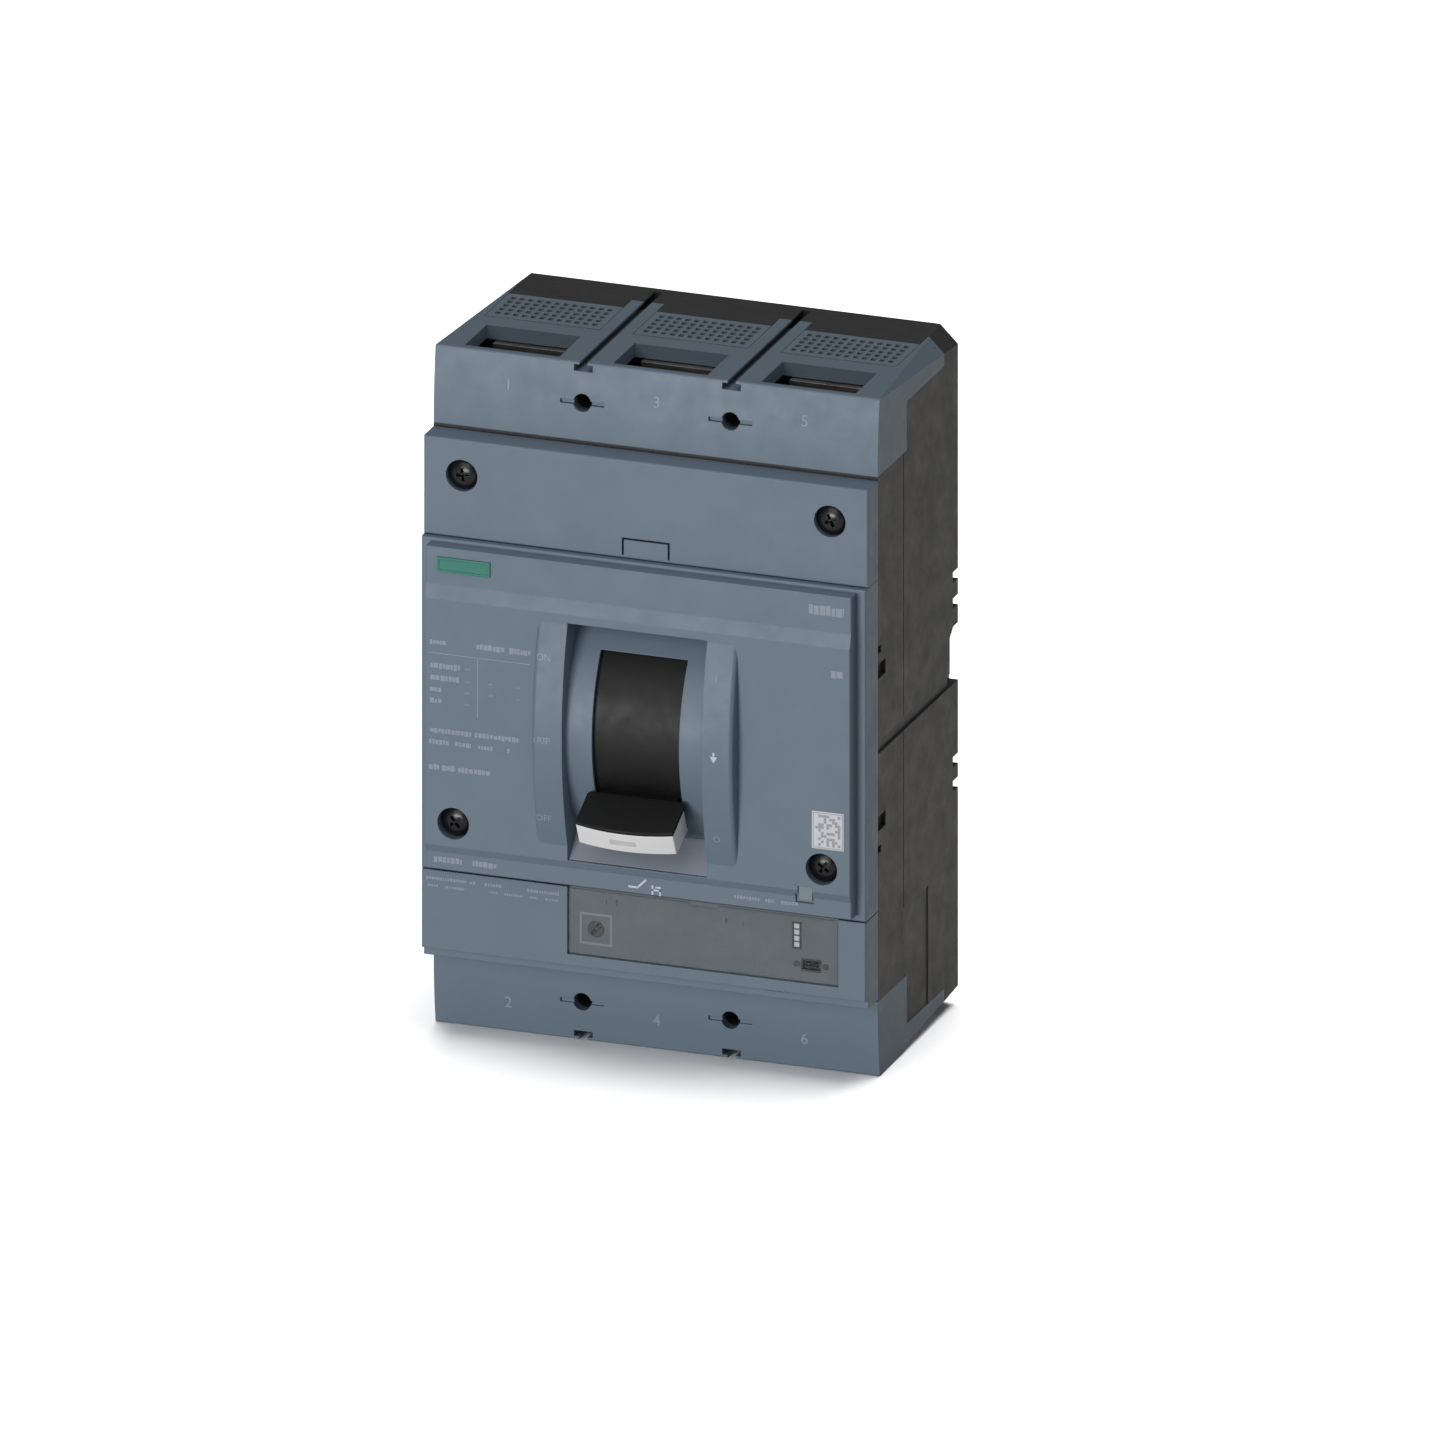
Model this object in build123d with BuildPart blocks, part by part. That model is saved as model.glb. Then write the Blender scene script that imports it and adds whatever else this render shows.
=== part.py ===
from build123d import *
from math import atan2, cos, degrees, radians, sin, sqrt
import os

# A three-pole molded case breaker. Millimetres, +X right, the front faces -Y, +Z up.
# The origin is the middle of the flat back. "Depth" is the distance in front of the back.

# Overall sizes
pole_pitch = 70.0
height = 320.0
base_depth = 104.0
cover_rise = 16.0
panel_rise = 6.5
width = 3 * pole_pitch
half_height = height / 2
poles = (-pole_pitch, 0.0, pole_pitch)
gaps = (-pole_pitch / 2, pole_pitch / 2)
cover_depth = base_depth + cover_rise
panel_depth = cover_depth + panel_rise

# Walls and clearances
divider = 6.0
back_wall = 4.0
cover_wall = 3.0
cover_round = 0.8
seam = 0.25
slide_fit = 0.15
run_fit = 0.05

# Terminal zones
terminal_height = 36.0
skirt_height = 13.0
skirt_depth = 18.0
shelf_depth = 66.5
cover_lean = 2.5
end_wall = 3.5
inlet_width = 44.6
inlet_front = 98.0
inlet_back = 70.0
collar_wall = 1.5
collar_depth = 3.1
duct_width = 50.0
duct_front = 57.0
duct_back = 30.0
grille_width = 54.6
grille_front = 59.0
grille_back = 28.0
grille_plate = 2.0
grille_ledge = 1.5
grille_hole = (2.3, 3.2)
grille_pitch = (4.15, 5.0)
grille_rows = (12, 5)
post_width = 15.0
post_gap = 4.0
mount_hole = 8.4
mount_inset = 18.5
barrier_stem = 3.8
barrier_head = 8.8
barrier_inset = 1.2
barrier_head_height = 3.0
corner_cut = 7.0
corner_length = 87.0
nose_half = half_height - terminal_height
shoulder = half_height - skirt_height
mount_z = half_height - mount_inset
chamber_half = nose_half - 2.5

# Operating panel and handle, measured from the handle axis
pivot_height = -7.5
pivot_depth = panel_depth - 66.9
band_radius = 71.0
band_wall = 1.8
shutter_radius = 68.5
shutter_wall = 1.5
shutter_width = 48.0
shutter_span = 60.0
grip_radius = 92.0
grip_width = 46.0
grip_height = 13.3
neck_width = 37.0
root_radius = shutter_radius - shutter_wall - 1.0
neck_height = 11.0
cap_wall = 2.5
grip_lid = 1.8
grip_bow = 2.6
grip_back_round = 2.0
grip_round = 0.6
handle_down = -25.0
window_width = 41.2
window_low = 39.5
window_high = 39.5
opening_width = 66.0
opening_low = 58.5
opening_high = 53.5
opening_wall = 3.0
surround_width = 95.0
surround_low = 56.5
surround_high = 57.5
surround_rise = 9.0
panel_margin = 4.5
crown_rise = 1.5

# Front pieces down the front: accessory cover, main cover with its trays, trip unit
accessory_height = 48.0
accessory_depth = base_depth + 13.0
trip_unit_height = 42.8
nose_gap = 1.8
accessory_base = nose_half - accessory_height
trip_unit_top = -nose_half + trip_unit_height
screw_head = 14.6
screw_shank = 6.0
screw_inset = 18.0
upper_screw_z = nose_half - 18.7
lower_screw_z = trip_unit_top + 25.8
latch_width = 20.8
latch_height = 7.3
latch_gap = 0.9
boss_depth = 11.0
screw_boss = 6.5
tray_inset = 14.0
tray_side = 4.0
tray_wall = 2.0
tray_head = 8.0
tray_foot = 3.5

# Trip unit front
bay_left = -36.0
bay_right = 92.0
bay_height = 32.1
bay_depth = 3.0
plate_thickness = 0.8
window_thickness = 1.5
knob_diameter = 7.5
knob_x = -22.9
light_x = 72.0
light_pitch = 2.9
port_x = 78.7
port_width = 9.5
port_height = 6.0
board_height = 28.0
bay_base = trip_unit_top - bay_height
plate_front = cover_depth - bay_depth + plate_thickness
knob_z = trip_unit_top - 19.3
port_z = trip_unit_top - 23.8

# Trip button and trip bar
button_x = 79.2
button_size = 6.5
button_fit = 0.2
button_z = trip_unit_top + 13.3
bar_depth = pivot_depth + 34.4
bar_z = pivot_height - 66.5
bar_radius = 3.0

# Contact system
rotor_depth = 48.0
rotor_z = 20.0
rotor_open = -35.0
barrel_radius = 22.0
barrel_width = 48.0
journal_radius = 18.5
rod_radius = 3.0
rod_offset = 13.0
bridge_half = 34.0
bridge_thickness = 6.0
bridge_width = 9.0
tip_width = 8.0
tip_height = 8.0
tip_thickness = 2.5
contact_gap = 0.2
bar_width = 36.0
bar_thickness = 7.0
bolt_radius = 5.0
transformer_width = 50.0
bolt_head = 17.0
bolt_head_height = 6.5
nut_size = 17.0
nut_thickness = 6.0
plate_gap = 6.0
arc_plate = 2.0
chute_width = 52.0
frame_wall = 2.0

# Mechanism
side_plate_x = 29.0
side_plate_wall = 2.0
arm_x = 26.0
stud_radius = 3.0
yoke_radius = 57.0
crank_radius = 28.0
crank_angle = 100.0
crank_x = 6.0
lug_wall = 3.0
link_length = 17.2
link_pin_radius = 2.5
knee_clearance = 4.1
coil_radius = 3.0
cradle_reach = 33.0
anchor_depth = rotor_depth + 34.0
anchor_z = rotor_z + 28.0

os.makedirs("parts", exist_ok=True)

handle_plane = Plane(
    origin=(0, -pivot_depth, pivot_height),
    x_dir=(0, -cos(radians(handle_down)), sin(radians(handle_down))),
    z_dir=(1, 0, 0),
)

# Plane through the handle axis whose x is X and whose y is the radius, for outlines seen along the grip's height
grip_plane = Plane(origin=handle_plane.origin, x_dir=(1, 0, 0), z_dir=handle_plane.y_dir)


def rotor_plane(x):
    """Plane across a rotor: its x runs up the contact arm and its y is the closing direction."""
    lean = radians(-rotor_open)
    return Plane(origin=(x, -rotor_depth, rotor_z), x_dir=(0, sin(lean), cos(lean)), z_dir=(1, 0, 0))


def corner_plane(side, end):
    """Plane that trims the long edge of the case, from nothing in front to a wide facet behind."""
    slope = corner_cut / corner_length
    return Plane(origin=(side * width / 2, -base_depth, end * half_height), z_dir=(side, slope, end))


crank_local = Vector(crank_radius * cos(radians(crank_angle)), crank_radius * sin(radians(crank_angle)))


def knee_point():
    """Knee of the toggle with the contacts open, as (depth, z)."""
    turn = radians(crank_angle + rotor_open)
    crank = Vector(rotor_depth + crank_radius * sin(turn), rotor_z + crank_radius * cos(turn))
    anchor = Vector(anchor_depth, anchor_z)
    span = crank - anchor
    reach = sqrt(link_length**2 - (span.length / 2) ** 2)
    side = Vector(-span.Y, span.X).normalized()
    return crank, (crank + anchor) / 2 + side * reach


def trim_corners(ends):
    for end in ends:
        for side in (-1, 1):
            split(bisect_by=corner_plane(side, end), keep=Keep.BOTTOM)


# Base housing: three open pole cells between a shelf at each end
with BuildPart() as base_housing:
    with BuildSketch(Plane.YZ.offset(-width / 2)):
        with BuildLine():
            Polyline(
                (0, half_height),
                (-skirt_depth, half_height),
                (-skirt_depth, shoulder),
                (-shelf_depth, shoulder),
                (-shelf_depth, nose_half),
                (-base_depth, nose_half),
                (-base_depth, 0),
                (0, 0),
                close=True,
            )
        make_face()
        mirror(about=Plane.XZ)
    extrude(amount=width)
    # Pole cells
    with BuildSketch(Plane.XZ.offset(back_wall)):
        with GridLocations(pole_pitch, 0, 3, 1):
            Rectangle(pole_pitch - divider, 2 * chamber_half)
    extrude(amount=base_depth, mode=Mode.SUBTRACT)
    # Thick back corners behind the outer notches
    with BuildSketch(Plane.XZ.offset(back_wall)):
        with GridLocations(width - 2 * 6.0, 0, 2, 1):
            Rectangle(2 * 3.0, 2 * chamber_half)
    extrude(amount=10.0)
    for end in (-1, 1):
        # Seats that carry the back edge of the terminal cover
        with BuildSketch(Plane.XY.offset(end * shoulder)):
            with Locations((0, -(skirt_depth + grille_back) / 2)):
                with GridLocations(pole_pitch, 0, 3, 1):
                    Rectangle(grille_width - 2 * seam, grille_back - skirt_depth - seam)
        extrude(amount=end * skirt_height)
        # Exhaust ducts
        with BuildSketch(Plane.XY.offset(end * (chamber_half - 1))):
            with Locations((0, -(duct_front + duct_back) / 2)):
                with GridLocations(pole_pitch, 0, 3, 1):
                    Rectangle(duct_width, duct_front - duct_back)
        extrude(amount=end * skirt_height * 3, mode=Mode.SUBTRACT)
        # Slots where the conductors leave the cells
        with BuildSketch(Plane.XY.offset(end * (chamber_half - 1))):
            with Locations((0, -(shelf_depth + shelf_depth + bar_thickness + seam) / 2)):
                with GridLocations(pole_pitch, 0, 3, 1):
                    Rectangle(bar_width + 2 * seam, bar_thickness + seam)
        extrude(amount=end * (nose_half - chamber_half + 2), mode=Mode.SUBTRACT)
        # Nut pockets in the shelf
        with BuildSketch(Plane.XZ.offset(shelf_depth)):
            with Locations((0, end * (nose_half + shoulder) / 2)):
                with GridLocations(pole_pitch, 0, 3, 1):
                    Rectangle(nut_size + 2 * seam, nut_size + 2 * seam)
        extrude(amount=-(nut_thickness + seam), mode=Mode.SUBTRACT)
        # Barrier grooves, stopped short of the back
        with BuildSketch(Plane.XZ.offset(back_wall)):
            with Locations((0, end * (half_height - barrier_inset - barrier_head_height / 2))):
                with GridLocations(pole_pitch, 0, 2, 1):
                    Rectangle(barrier_head, barrier_head_height)
            with Locations((0, end * half_height)):
                with GridLocations(pole_pitch, 0, 2, 1):
                    Rectangle(barrier_stem, 2 * barrier_head_height)
        extrude(amount=skirt_depth, mode=Mode.SUBTRACT)
    # Mounting holes
    with BuildSketch(Plane.XZ):
        with GridLocations(pole_pitch, 2 * mount_z, 2, 2):
            Circle(mount_hole / 2)
    extrude(amount=base_depth, mode=Mode.SUBTRACT)
    # Slots in the dividers for the rotor journals and for the handle mechanism
    with BuildSketch(Plane.YZ.offset(-pole_pitch / 2 - divider)):
        with Locations((-rotor_depth, rotor_z)):
            Circle(journal_radius + run_fit)
        with Locations((-(rotor_depth + base_depth + 1) / 2, rotor_z)):
            Rectangle(base_depth + 1 - rotor_depth, 2 * (journal_radius + run_fit))
    extrude(amount=pole_pitch + 2 * divider, mode=Mode.SUBTRACT)
    with BuildSketch(Plane.XZ.offset(bar_depth - 6)):
        with Locations((0, (accessory_base - 24 + bar_z - 6) / 2)):
            Rectangle(pole_pitch + 2 * divider, accessory_base - 24 - bar_z + 6)
    extrude(amount=base_depth, mode=Mode.SUBTRACT)
    # Screw blocks for the accessory cover
    with BuildSketch(Plane.XZ.offset(base_depth - 24)):
        with GridLocations(width - 2 * screw_inset + 1, 0, 2, 1):
            with Locations((0, upper_screw_z)):
                Rectangle(2 * screw_inset - 5, 16)
    extrude(amount=24)
    with BuildSketch(Plane.XZ.offset(base_depth - 20)):
        with GridLocations(width - 2 * screw_inset, 0, 2, 1):
            with Locations((0, upper_screw_z)):
                Circle(screw_shank / 2)
    extrude(amount=20, mode=Mode.SUBTRACT)
    for side in (-1, 1):
        # Grip groove along the side, back notches, front windows and the side panel seams
        side_plane = Plane.YZ.offset(side * width / 2)
        with BuildSketch(side_plane):
            with Locations((-base_depth / 2, -4.0)):
                Rectangle(base_depth, 6.0)
        extrude(amount=-side * 1.2, mode=Mode.SUBTRACT)
        with BuildSketch(side_plane):
            for notch_z in (43.3, 31.0, -44.0, -55.3):
                with Locations((0, notch_z)):
                    Rectangle(2 * 6.6, 4.8)
        extrude(amount=-side * 3.0, mode=Mode.SUBTRACT)
        with BuildSketch(side_plane):
            with BuildLine():
                Polyline((1, 20), (-6, 20), (-10.6, 16), (-10.6, -7), (1, -7), close=True)
            make_face()
        extrude(amount=-side * 4.2, mode=Mode.SUBTRACT)
        with BuildSketch(side_plane):
            for latch_z in (31.9, -40.1):
                with Locations((-base_depth + 5.0, latch_z)):
                    Rectangle(10.0, 7.0)
            for latch_z in (42.1, -52.3):
                with Locations((-base_depth + 2.0, latch_z)):
                    Rectangle(4.0, 3.5)
        extrude(amount=-side * 2.2, mode=Mode.SUBTRACT)
        with BuildSketch(side_plane):
            with Locations((-70.8, 0)):
                Rectangle(0.7, 2 * nose_half)
            with Locations((-55.0, -(91.0 + shoulder) / 2)):
                Rectangle(32.0, shoulder - 91.0)
        extrude(amount=-side * 0.5, mode=Mode.SUBTRACT)
    trim_corners((-1, 1))
base_housing.part.label = "base_housing"
export_step(base_housing.part, "parts/base_housing.step")

# Mounting posts: they stand on the shelves between the poles and carry the screws
with BuildPart() as mounting_posts:
    with BuildSketch(Plane.XZ.offset(shelf_depth)):
        with GridLocations(pole_pitch, nose_half + shoulder + post_gap, 2, 2):
            Rectangle(post_width, shoulder + post_gap - nose_half)
    extrude(amount=inlet_front - shelf_depth)
    with BuildSketch(Plane.XZ):
        with GridLocations(pole_pitch, 2 * mount_z, 2, 2):
            Circle(mount_hole / 2)
    extrude(amount=base_depth, mode=Mode.SUBTRACT)
mounting_posts.part.label = "mounting_posts"
export_step(mounting_posts.part, "parts/mounting_posts.step")

# Terminal covers: a leaning front, an end wall with cable inlets, a skirt back to the base
for end, place in ((1, "top"), (-1, "bottom")):
    with BuildPart() as terminal_cover:
        with BuildSketch(Plane.YZ.offset(-width / 2)):
            with BuildLine():
                TangentArc(
                    (-base_depth, nose_half), (-base_depth + cover_lean, half_height), tangent=(0, 1)
                )
                Polyline(
                    (-base_depth + cover_lean, half_height),
                    (-skirt_depth, half_height),
                    (-skirt_depth, shoulder),
                    (-shelf_depth, shoulder),
                    (-shelf_depth, nose_half),
                    (-base_depth, nose_half),
                )
            make_face()
        extrude(amount=width)
        fillet(terminal_cover.faces().sort_by(Axis.Z)[-1].edges().sort_by(Axis.Y)[0], cover_round)
        # Hollow over the terminals and over the base behind them
        with BuildSketch(Plane.XY.offset(nose_half)):
            with Locations((0, -(inlet_front + shelf_depth) / 2)):
                Rectangle(width - 2 * cover_wall, inlet_front - shelf_depth)
        extrude(amount=terminal_height - end_wall, mode=Mode.SUBTRACT)
        with BuildSketch(Plane.XY.offset(shoulder)):
            with Locations((0, -(shelf_depth + skirt_depth + cover_wall) / 2)):
                Rectangle(width - 2 * cover_wall, shelf_depth - skirt_depth - cover_wall)
        extrude(amount=skirt_height - end_wall, mode=Mode.SUBTRACT)
        # Webs that carry the barrier grooves, above the mounting posts
        with BuildSketch(Plane.XY.offset(shoulder + post_gap)):
            with Locations((0, -(inlet_front + skirt_depth) / 2)):
                with GridLocations(pole_pitch, 0, 2, 1):
                    Rectangle(post_width, inlet_front - skirt_depth)
        extrude(amount=skirt_height - post_gap)
        # Collars that line the cable inlets, down to the conductors
        with BuildSketch(Plane.XY.offset(half_height - end_wall - collar_depth)):
            with Locations((0, -(inlet_front + inlet_back - collar_wall) / 2)):
                with GridLocations(pole_pitch, 0, 3, 1):
                    Rectangle(inlet_width + 2 * collar_wall, inlet_front - inlet_back + collar_wall)
        extrude(amount=collar_depth)
        # Cable inlets, gas outlets and the notches for the seats behind them
        with BuildSketch(Plane.XY.offset(shoulder)):
            with Locations((0, -(inlet_front + inlet_back) / 2)):
                with GridLocations(pole_pitch, 0, 3, 1):
                    Rectangle(inlet_width, inlet_front - inlet_back)
            with Locations((0, -(grille_front - grille_ledge + skirt_depth) / 2)):
                with GridLocations(pole_pitch, 0, 3, 1):
                    Rectangle(grille_width - 2 * grille_ledge, grille_front - grille_ledge - skirt_depth)
            with Locations((0, -(grille_back + skirt_depth - 1) / 2)):
                with GridLocations(pole_pitch, 0, 3, 1):
                    Rectangle(grille_width, grille_back - skirt_depth + 1)
        extrude(amount=skirt_height, mode=Mode.SUBTRACT)
        # Bays for the grille plates, over the ledge
        with BuildSketch(Plane.XY.offset(half_height - grille_plate)):
            with Locations((0, -(grille_front + grille_back) / 2)):
                with GridLocations(pole_pitch, 0, 3, 1):
                    Rectangle(grille_width, grille_front - grille_back + 1)
        extrude(amount=skirt_height, mode=Mode.SUBTRACT)
        # Barrier grooves, open at the front and the back
        with BuildSketch(Plane.XZ):
            with Locations((0, half_height - barrier_inset - barrier_head_height / 2)):
                with GridLocations(pole_pitch, 0, 2, 1):
                    Rectangle(barrier_head, barrier_head_height)
            with Locations((0, half_height)):
                with GridLocations(pole_pitch, 0, 2, 1):
                    Rectangle(barrier_stem, 2 * barrier_head_height)
        extrude(amount=base_depth, mode=Mode.SUBTRACT)
        # Mounting holes, each crossed by a shallow slot
        with BuildSketch(Plane.XZ.offset(inlet_front - 1)):
            with Locations((0, mount_z)):
                with GridLocations(pole_pitch, 0, 2, 1):
                    Circle(mount_hole / 2)
        extrude(amount=base_depth, mode=Mode.SUBTRACT)
        with BuildSketch(Plane.XZ.offset(base_depth - 2.0)):
            with Locations((0, mount_z)):
                with GridLocations(pole_pitch, 0, 2, 1):
                    Rectangle(20.7, 2.0)
        extrude(amount=base_depth, mode=Mode.SUBTRACT)
        trim_corners((1,))
        if end < 0:
            mirror(about=Plane.XY, mode=Mode.REPLACE)
    terminal_cover.part.label = f"terminal_cover_{place}"
    export_step(terminal_cover.part, f"parts/terminal_cover_{place}.step")

# Exhaust grilles: one perforated plate for each bay, on the ledge of the cover
for end, place in ((1, "top"), (-1, "bottom")):
    with BuildPart() as exhaust_grilles:
        with BuildSketch(Plane.XY.offset(end * (half_height - grille_plate))):
            with Locations((0, -(grille_front + grille_back) / 2)):
                with GridLocations(pole_pitch, 0, 3, 1):
                    Rectangle(grille_width - 2 * seam, grille_front - grille_back - 2 * seam)
                    with GridLocations(*grille_pitch, *grille_rows):
                        Rectangle(*grille_hole, mode=Mode.SUBTRACT)
        extrude(amount=end * grille_plate)
    exhaust_grilles.part.label = f"exhaust_grilles_{place}"
    export_step(exhaust_grilles.part, f"parts/exhaust_grilles_{place}.step")

# Main cover: a frame with a window for the mechanism and a pocket each side for accessories
main_top = accessory_base - seam
main_base = trip_unit_top + seam
tray_inner = opening_width / 2 + opening_wall + tray_inset
tray_width = width / 2 - cover_wall - tray_inner - tray_side
tray_x = tray_inner + tray_width / 2
tray_top = main_top - tray_head
tray_base = lower_screw_z + screw_boss + tray_foot
with BuildPart() as main_cover:
    with BuildSketch(Plane.XZ.offset(base_depth)):
        with Locations((0, (main_top + main_base) / 2)):
            Rectangle(width, main_top - main_base)
    extrude(amount=cover_rise)
    fillet(main_cover.faces().sort_by(Axis.Y)[0].edges(), cover_round)
    with BuildSketch(Plane.XZ.offset(base_depth)):
        with Locations((0, (main_top + main_base) / 2)):
            Rectangle(width - 2 * cover_wall, main_top - main_base - 2 * cover_wall)
    extrude(amount=cover_rise - cover_wall, mode=Mode.SUBTRACT)
    with BuildSketch(Plane.XZ.offset(base_depth - boss_depth)):
        with GridLocations(width - 2 * screw_inset, 0, 2, 1):
            with Locations((0, lower_screw_z)):
                Circle(screw_boss)
    extrude(amount=boss_depth + cover_rise - 1)
    with BuildSketch(Plane.XZ.offset(base_depth - boss_depth)):
        with GridLocations(width - 2 * screw_inset, 0, 2, 1):
            with Locations((0, lower_screw_z)):
                Circle(screw_shank / 2)
        with GridLocations(2 * tray_x, 0, 2, 1):
            with Locations((0, (tray_top + tray_base) / 2)):
                Rectangle(tray_width + 2 * seam, tray_top - tray_base + 2 * seam)
        with Locations((0, pivot_height + (opening_high - opening_low) / 2)):
            Rectangle(
                opening_width + 2 * opening_wall + 2 * seam,
                opening_high + opening_low + 2 * opening_wall + 2 * seam,
            )
        with Locations((button_x, button_z)):
            Rectangle(button_size + 2 * button_fit, button_size + 2 * button_fit)
    extrude(amount=base_depth, mode=Mode.SUBTRACT)
main_cover.part.label = "main_cover"
export_step(main_cover.part, "parts/main_cover.step")

# Accessory trays: open boxes behind the front panel, one each side of the mechanism
with BuildPart() as accessory_trays:
    with BuildSketch(Plane.XZ.offset(base_depth - boss_depth)):
        with GridLocations(2 * tray_x, 0, 2, 1):
            with Locations((0, (tray_top + tray_base) / 2)):
                Rectangle(tray_width, tray_top - tray_base)
    extrude(amount=boss_depth + cover_rise)
    with BuildSketch(Plane.XZ.offset(base_depth - boss_depth + tray_wall)):
        with GridLocations(2 * tray_x, 0, 2, 1):
            with Locations((0, (tray_top + tray_base) / 2)):
                Rectangle(tray_width - 2 * tray_wall, tray_top - tray_base - 2 * tray_wall)
    extrude(amount=base_depth, mode=Mode.SUBTRACT)
accessory_trays.part.label = "accessory_trays"
export_step(accessory_trays.part, "parts/accessory_trays.step")

# Front panel: raised plate with a soft crown, the handle surround and the curved band
panel_top = accessory_base - 2.0
panel_base = trip_unit_top + 3.2
panel_width = width - 2 * panel_margin
crown_depth = panel_depth + crown_rise
crown_top = pivot_height + surround_high
crown_base = trip_unit_top + 14.7
with BuildPart() as front_panel:
    with BuildSketch(Plane.YZ.offset(-panel_width / 2)):
        with BuildLine():
            Polyline(
                (-cover_depth, panel_base),
                (-panel_depth, panel_base),
                (-panel_depth, crown_base - 3.5),
                (-crown_depth, crown_base),
                (-crown_depth, crown_top),
                (-panel_depth, crown_top + 6.5),
                (-panel_depth, panel_top),
                (-cover_depth, panel_top),
                close=True,
            )
        make_face()
    extrude(amount=panel_width)
    front_edges = front_panel.edges().filter_by(Axis.Z).filter_by_position(
        Axis.Y, -crown_depth - 1, -panel_depth + 1
    )
    fillet(front_edges, 0.6)
    # Hollow back
    with BuildSketch(Plane.XZ.offset(cover_depth)):
        with Locations((0, (panel_top + panel_base) / 2)):
            Rectangle(panel_width - 2 * cover_wall, panel_top - panel_base - 2 * cover_wall)
    extrude(amount=panel_rise - cover_wall, mode=Mode.SUBTRACT)
    # Handle surround
    with BuildSketch(Plane.YZ.offset(-surround_width / 2)):
        with BuildLine():
            ThreePointArc(
                (-panel_depth, pivot_height - surround_low),
                (-panel_depth - surround_rise, pivot_height),
                (-panel_depth, pivot_height + surround_high),
            )
            Line(
                (-panel_depth, pivot_height + surround_high), (-panel_depth, pivot_height - surround_low)
            )
        make_face()
    extrude(amount=surround_width)
    arc_edges = front_panel.edges().filter_by(GeomType.CIRCLE).filter_by_position(
        Axis.X, -surround_width / 2 - 0.1, surround_width / 2 + 0.1
    )
    fillet([edge for edge in arc_edges if edge.length > surround_high], 2.2)
    # Block behind the opening, and the screw pads
    with BuildSketch(Plane.YZ):
        with Locations((-panel_depth + 18, pivot_height + (opening_high - opening_low) / 2)):
            Rectangle(36, opening_high + opening_low + 2 * opening_wall)
        with Locations((-pivot_depth, pivot_height)):
            Circle(band_radius - band_wall, mode=Mode.SUBTRACT)
    extrude(amount=opening_width / 2 + opening_wall, both=True)
    with BuildSketch(Plane.XZ.offset(cover_depth)):
        with GridLocations(width - 2 * screw_inset, 0, 2, 1):
            with Locations((0, lower_screw_z)):
                Circle(screw_head / 2 + 2.5)
    extrude(amount=panel_rise)
    # Room for the shutter behind the band
    with BuildSketch(Plane.YZ):
        with Locations((-pivot_depth, pivot_height)):
            Circle(band_radius - band_wall)
    extrude(amount=opening_width / 2 + opening_wall - 1, both=True, mode=Mode.SUBTRACT)
    # Opening down to the band, then the window through it
    with BuildSketch(Plane.YZ):
        with Locations((-panel_depth, pivot_height + (opening_high - opening_low) / 2)):
            Rectangle(80, opening_high + opening_low)
        with Locations((-pivot_depth, pivot_height)):
            Circle(band_radius, mode=Mode.SUBTRACT)
    extrude(amount=opening_width / 2, both=True, mode=Mode.SUBTRACT)
    with BuildSketch(Plane.XZ.offset(panel_depth - 40)):
        with Locations((0, pivot_height + (window_high - window_low) / 2)):
            Rectangle(window_width, window_high + window_low)
    extrude(amount=60, mode=Mode.SUBTRACT)
    # Screw holes and the button hole
    with BuildSketch(Plane.XZ.offset(panel_depth - 5)):
        with GridLocations(width - 2 * screw_inset, 0, 2, 1):
            with Locations((0, lower_screw_z)):
                Circle(screw_head / 2 + slide_fit)
    extrude(amount=20, mode=Mode.SUBTRACT)
    with BuildSketch(Plane.XZ.offset(cover_depth - 1)):
        with GridLocations(width - 2 * screw_inset, 0, 2, 1):
            with Locations((0, lower_screw_z)):
                Circle(screw_shank / 2 + slide_fit)
        with Locations((button_x, button_z)):
            Rectangle(button_size + 2 * button_fit, button_size + 2 * button_fit)
    extrude(amount=20, mode=Mode.SUBTRACT)
front_panel.part.label = "front_panel"
export_step(front_panel.part, "parts/front_panel.step")

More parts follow.
